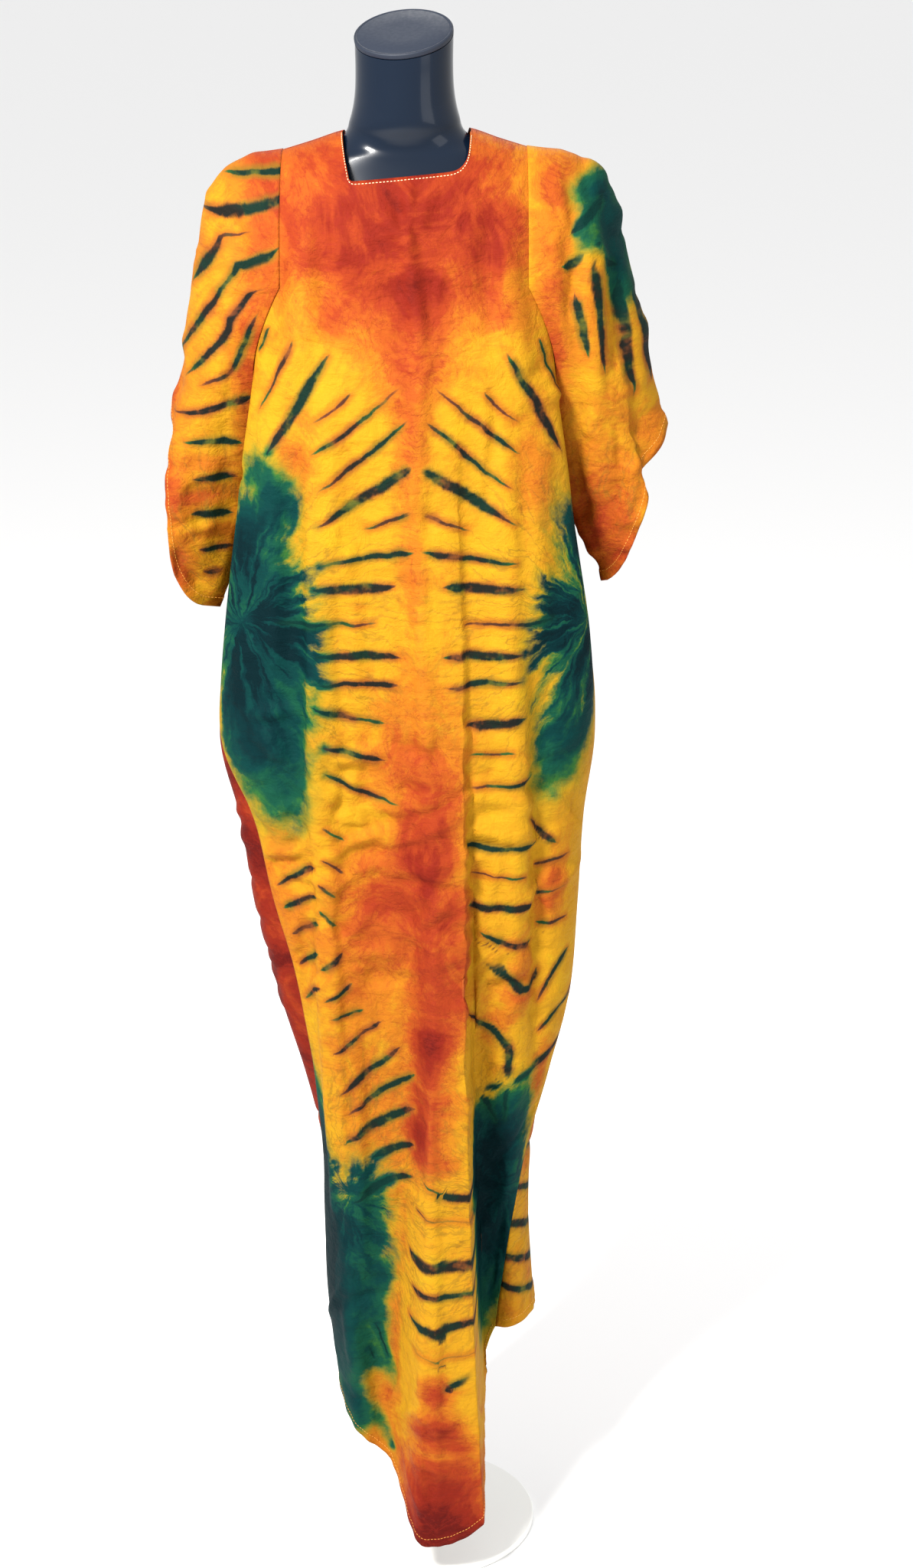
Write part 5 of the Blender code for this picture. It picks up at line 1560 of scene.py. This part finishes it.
def panel_piece(name, grid, body, front_rows, own_rows, finish):
    """The front or the back: its finely divided shell, with its creases and its dye."""
    front = name == "front_panel"
    points, out = panel(*body, front, grid)
    skirt_rows = grid[1]
    x, y, z = points[..., 0] - MIDDLE_X, points[..., 1], points[..., 2]
    s, run = panel_s(x, y, z, front, skirt_rows + grid[2])

    def place(px, pz):
        return cloth_s(front_rows, px, pz)

    def own_place(px, pz):
        return cloth_s(own_rows, px, pz, front)

    table = list(FRONT_CREASES if front else BACK_CREASES)
    table += small_creases(11 if front else 12, 150, (-0.17, 0.10), (0.17, 1.48), 0.55)
    table += small_creases(21 if front else 22, 120, (-0.15, 0.66), (0.15, 0.95), 0.15)
    relief = crease_relief(s.ravel(), z.ravel(), crease_curves(table, own_place), table).reshape(s.shape)
    within = ramp(np.minimum(run, run[:, -1:] - run) / EDGE_FADE - 0.5)
    lengths = run_along(points)
    from_top = lengths[-1] - lengths
    share = np.linspace(0, 1, x.shape[1])
    low, high = FRONT_NECKLINE_SHARE if front else BACK_NECKLINE_SHARE
    neck = (share > low) & (share < high) if front else (share > 1 - high) & (share < 1 - low)
    relief = relief * within * ramp(from_top / EDGE_FADE - 0.5)
    rim = np.where(neck, ramp((NECK_TURNING - from_top) / 0.002), 0) * NECK_RISE
    hem = ramp((HEM_TURNING - lengths) / 0.003)
    puckers = np.sin(s * 2 * pi / PUCKER_LENGTH + 2 * np.sin(s * 60))
    pucker = HEM_PUCKER * puckers * ramp((HEM_TURNING * 1.6 - lengths) / 0.008)
    shaped = points + out * (relief + rim + hem * HEM_RISE + pucker * within)[..., None]
    fine = grid_normals(shaped, False, out)

    curves, warm, green = (front_dye if front else back_dye)(s, z, place, own_place)
    fields = {"warm": warm, "green": green, **streak_fields(s.ravel(), z.ravel(), curves)}
    made = cloth_object(name, shaped, fine, False, fields, np.stack([s, z], axis=-1), finish)
    return made, (points[skirt_rows:], out[skirt_rows:]), (shaped, fine, lengths, from_top, neck)


def sleeve_piece(name, armholes, finish):
    """A sleeve: its finely divided shell, with its creases and its dye."""
    side, table, notch_rise, creases, seed, area, streaks, warms, greens = SLEEVES[name]
    rows = np.arange(len(table))
    wanted = np.linspace(0, len(table) - 1, SLEEVE_RINGS)
    columns = [column(table, SLEEVE_COLUMNS, name) for name in SLEEVE_COLUMNS]
    fine_table = np.column_stack([smooth(wanted, rows, values) for values in columns])
    outer = sleeve(armholes, side, fine_table, notch_rise)
    out = grid_normals(outer, True, outer - outer.mean(axis=1, keepdims=True))
    x, z = outer[..., 0] - MIDDLE_X, outer[..., 2]
    table = [*creases, *small_creases(seed, 60, *area, 0.5)]
    relief = crease_relief(x.ravel(), z.ravel(), crease_curves(table, flat_s), table).reshape(x.shape)
    length = run_along(outer)
    to_cuff = length[-1] - length
    relief = relief * ramp(length / ARMHOLE_FADE - 0.5)
    relief += CUFF_RISE * ramp((CUFF_TURNING - to_cuff) / 0.003)
    shaped = outer + out * relief[..., None]
    fine = grid_normals(shaped, True, out)
    dye_z = z - SLEEVE_TURN * np.maximum(outer[..., 1], 0)
    warm = 0.27 + soft_fields(x, z, warms, flat_s)
    fields = {"warm": warm, "green": soft_fields(x, z, greens, flat_s)}
    fields |= streak_fields(x.ravel(), dye_z.ravel(), streak_curves(streaks, flat_s))
    made = cloth_object(name, shaped, fine, True, fields, np.stack([x, dye_z], axis=-1), finish)
    return made, (shaped, fine, to_cuff)


def stitches(name, path, normals, kind, finish):
    """A row of short stitches along a path on the cloth, as one mesh."""
    pitch, long, thick, lift = kind
    run = run_along(path)
    count = int(run[-1] / pitch)
    rng = np.random.default_rng(count)
    work = bmesh.new()
    for k in range(count):
        middle = (k + 0.5) * pitch + rng.normal(0, pitch * 0.04)
        start, end = (on_path(place, run, path) for place in (middle - long / 2, middle + long / 2))
        up = on_path(middle, run, normals)
        up /= np.linalg.norm(up)
        along = end - start
        along /= np.linalg.norm(along) + TINY
        side = np.cross(along, up)
        rings = []
        for part, swell in STITCH_SWELL:
            centre = start * (1 - part) + end * part + up * (lift * (0.2 + 0.8 * swell))
            turns = np.linspace(0, 2 * pi, 6, endpoint=False)
            offs = [side * np.cos(turn) + up * np.sin(turn) * 0.7 for turn in turns]
            rings.append([centre + off * thick / 2 * swell - MIDDLE for off in offs])
        add_tube(work, rings)
    bmesh.ops.recalc_face_normals(work, faces=work.faces)
    return show_mesh(name, work, finish)


def line_inside(shaped, fine, distance, wanted):
    """The points and normals of a grid at a given distance from an edge, column by column."""
    path, out = [], []
    for c, order in enumerate(np.argsort(distance, axis=0).T):
        run = distance[order, c]
        path.append(on_path(wanted, run, shaped[order, c]))
        out.append(on_path(wanted, run, fine[order, c]))
    return np.array(path), np.array(out)


def form_level(z, count):
    """One level of the dress form's outline, tilted and rolled as the table says between its rows."""
    half, front, back, tilt, roll = (at(FORM, FORM_COLUMNS, name, z) for name in FORM_COLUMNS[1:])
    turn = np.linspace(0, 2 * pi, count, endpoint=False)
    x = half * np.cos(turn)
    y = np.where(np.sin(turn) < 0, front, back) * np.sin(turn)
    level = Matrix.Translation((0, 0, z)) @ Matrix.Rotation(radians(roll), 4, "Y").inverted()
    level = level @ Matrix.Rotation(radians(tilt), 4, "X")
    return [level @ Vector((px, py, 0)) for px, py in zip(x, y)], level


def loft_object(name, rings, finish):
    """A closed solid through rings, with flat ends, in the object's frame."""
    work = bmesh.new()
    add_tube(work, [[Vector(point) - Vector(MIDDLE) for point in ring] for ring in rings])
    bmesh.ops.recalc_face_normals(work, faces=work.faces)
    if work.calc_volume(signed=True) < 0:
        bmesh.ops.reverse_faces(work, faces=work.faces)
    piece = show_mesh(name, work, finish)
    piece.data.set_sharp_from_angle(angle=radians(SHARP_ANGLE))
    return piece


def turned_rings(profile, count, level):
    """Rings of a turned profile, whose rows are a radius and a height."""
    turn = np.linspace(0, 2 * pi, count, endpoint=False)
    return [[level @ Vector((r * np.cos(a), r * np.sin(a), h)) for a in turn] for r, h in profile]


def rounded_edge(radius, low, high, edge, steps=6):
    """A disc's profile from its lower to its upper face, both edges rounded."""
    turns = [pi / 2 * k / steps for k in range(steps + 1)]
    lower = [(radius - edge + edge * np.sin(a), low + edge - edge * np.cos(a)) for a in turns]
    upper = [(radius - edge + edge * np.cos(a), high - edge + edge * np.sin(a)) for a in turns]
    return [(radius * 0.5, low), *lower, *upper, (radius * 0.5, high)]


def area_light(name, place, target, size, power, colour=(1, 1, 1)):
    data = bpy.data.lights.new(name, "AREA")
    data.shape = "RECTANGLE"
    data.size, data.size_y = size
    data.energy = power
    data.color = colour
    made = show(name, data)
    made.location = place
    made.rotation_euler = (Vector(target) - Vector(place)).to_track_quat("-Z", "Y").to_euler()


def plastic(name, colour, roughness, scale, depth, more=()):
    """Moulded plastic, enamel or thread, with a slight unevenness of its skin."""
    g = Graph(name, roughness, linear(*colour))
    grain = g.noise(g.node("TexCoord", "Object"), scale)
    rough = (grain - 0.5) * (roughness * 0.5) + roughness
    g.shade({"Roughness": rough, "Normal": g.bump(grain, 0.2, depth), **dict(more)})
    return g.material


def make_cloth():
    """The cloth pieces, and the shapes that their stitches lie on."""
    body = body_surface()
    front_rows, back_rows = (place_s(body[0], front) for front in (True, False))
    cloth = dyed_cloth()
    made, shapes, armholes = {}, {}, []
    for name, grid, rows in (("front_panel", FRONT_GRID, front_rows), ("back_panel", BACK_GRID, back_rows)):
        made[name], armhole, shapes[name] = panel_piece(name, grid, body, front_rows, rows, cloth)
        armholes.append(armhole)
    for name in SLEEVES:
        made[name], shapes[name] = sleeve_piece(name, armholes, cloth)
    return made, shapes


def make_stitches(shapes):
    """The topstitching of the neckline, the hems and the cuffs, with the piece that each row is on."""
    pale = plastic("pale_thread", (244, 190, 150), 0.6, 900, 0.0002)
    gold = plastic("gold_thread", (206, 140, 52), 0.6, 900, 0.0002)
    made = []
    for name in ("front_panel", "back_panel"):
        shaped, fine, lengths, from_top, neck = shapes[name]
        upper = slice(int(len(shaped) * 0.7), None)
        path, out = line_inside(*(values[upper, neck] for values in (shaped, fine, from_top)), NECK_STITCH)
        made.append((stitches(f"{name}_neck_stitches", path, out, NECK_KIND, pale), name))
        path, out = line_inside(*(values[:20] for values in (shaped, fine, lengths)), HEM_STITCH)
        made.append((stitches(f"{name}_hem_stitches", path[2:-2], out[2:-2], HEM_KIND, gold), name))
    for name in SLEEVES:
        path, out = line_inside(*(values[-24:] for values in shapes[name]), CUFF_STITCH)
        path, out = (np.concatenate([values, values[:1]]) for values in (path, out))
        made.append((stitches(f"{name}_stitches", path, out, HEM_KIND, gold), name))
    return made


def make_form():
    """The dress form, its neck cap, its pole and its foot."""
    gloss = {"Specular IOR Level": 0.18, "Coat Weight": 0.22, "Coat Roughness": 0.08}
    glossy = plastic("navy_gloss", (8, 20, 35), 0.20, 14, 0.0006, gloss)
    matte = plastic("matte_navy", (14, 25, 42), 0.60, 260, 0.0002)
    white = plastic("white_enamel", (232, 232, 228), 0.35, 420, 0.0001)
    heights = column(FORM, FORM_COLUMNS, "z")
    levels = [z for a, b in zip(heights, heights[1:]) for z in np.linspace(a, b, 7)[:-1]] + [heights[-1]]
    torso = [form_level(z, FORM_POINTS)[0] for z in levels]
    cap = rounded_edge(CAP_RADIUS, TOUCH_GAP, CAP_THICKNESS, CAP_EDGE)[:-1]
    cap += [(radius, CAP_THICKNESS - depth) for radius, depth in CAP_TOP]
    foot = rounded_edge(FOOT_RADIUS, 0, FOOT_THICKNESS, FOOT_EDGE)
    pole = [(POLE_RADIUS + 0.0001, FOOT_THICKNESS + TOUCH_GAP)]
    pole += [(POLE_RADIUS, z) for z in (FOOT_THICKNESS + 0.0010, 0.3, 0.6, FORM[0][0] - TOUCH_GAP)]
    stand = Matrix.Translation((MIDDLE_X, MIDDLE_Y + STAND_Y, 0))
    rings = {
        "torso": (torso, glossy),
        "neck_cap": (turned_rings(cap, CAP_POINTS, form_level(heights[-1], 8)[1]), matte),
        "foot": (turned_rings(foot, FOOT_POINTS, stand), white),
        "pole": (turned_rings(pole, POLE_POINTS, stand), white),
    }
    return {name: loft_object(name, *made) for name, made in rings.items()}


def make_stage():
    """A pale floor, soft studio light and the camera."""
    work = bmesh.new()
    bmesh.ops.create_grid(work, x_segments=1, y_segments=1, size=60)
    floor = show_mesh("floor", work, Graph("pale_floor", 0.9, (0.92, 0.92, 0.92, 1)).material)
    floor.location = (0, 0, -0.0005)

    world = bpy.data.worlds.new("studio")
    world.use_nodes = True
    light = world.node_tree.nodes["Background"].inputs
    light[0].default_value = (1, 1, 1, 1)
    light[1].default_value = WORLD_LIGHT
    scene = bpy.context.scene
    scene.world = world
    area_light("key", (-1.2, -2.1, 3.1), (0.0, 0.0, 1.25), (0.6, 0.6), KEY_LIGHT, (1.0, 0.98, 0.95))
    area_light("fill", (1.9, -1.8, 1.9), (0.0, 0.0, 0.9), (1.2, 1.6), FILL_LIGHT)
    area_light("back", (0.3, 2.2, 2.6), (0.0, 0.0, 1.1), (1.2, 1.2), BACK_LIGHT)

    data = bpy.data.cameras.new("camera")
    data.sensor_fit = "VERTICAL"
    data.sensor_height = 36
    data.lens = LENS
    camera = show("camera", data)
    camera.location = CAMERA
    camera.rotation_euler = (radians(90 - CAMERA_DOWN), 0, 0)
    scene.camera = camera
    scene.view_settings.view_transform = "Standard"
    scene.view_settings.look = "None"


make_stage()
cloth_pieces, cloth_shapes = make_cloth()
stitch_pieces = make_stitches(cloth_shapes)
form_pieces = make_form()

for piece_name, (node, width, length, area) in CUTS.items():
    piece = cloth_pieces[piece_name]
    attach(piece, "root")
    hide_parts(node)
    own = [stitch for stitch, on in stitch_pieces if on == piece_name]
for stitch, _ in stitch_pieces:
    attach(stitch, "root")
for piece_name, node, slot in (
    ("torso", "form_torso", "navy_gloss_plastic"),
    ("neck_cap", "form_cap", "matte_navy_plastic"),
    ("pole", "form_pole", "satin_white_metal"),
    ("foot", "form_base", "satin_white_metal"),
):
    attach(form_pieces[piece_name], "root")
    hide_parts(node)
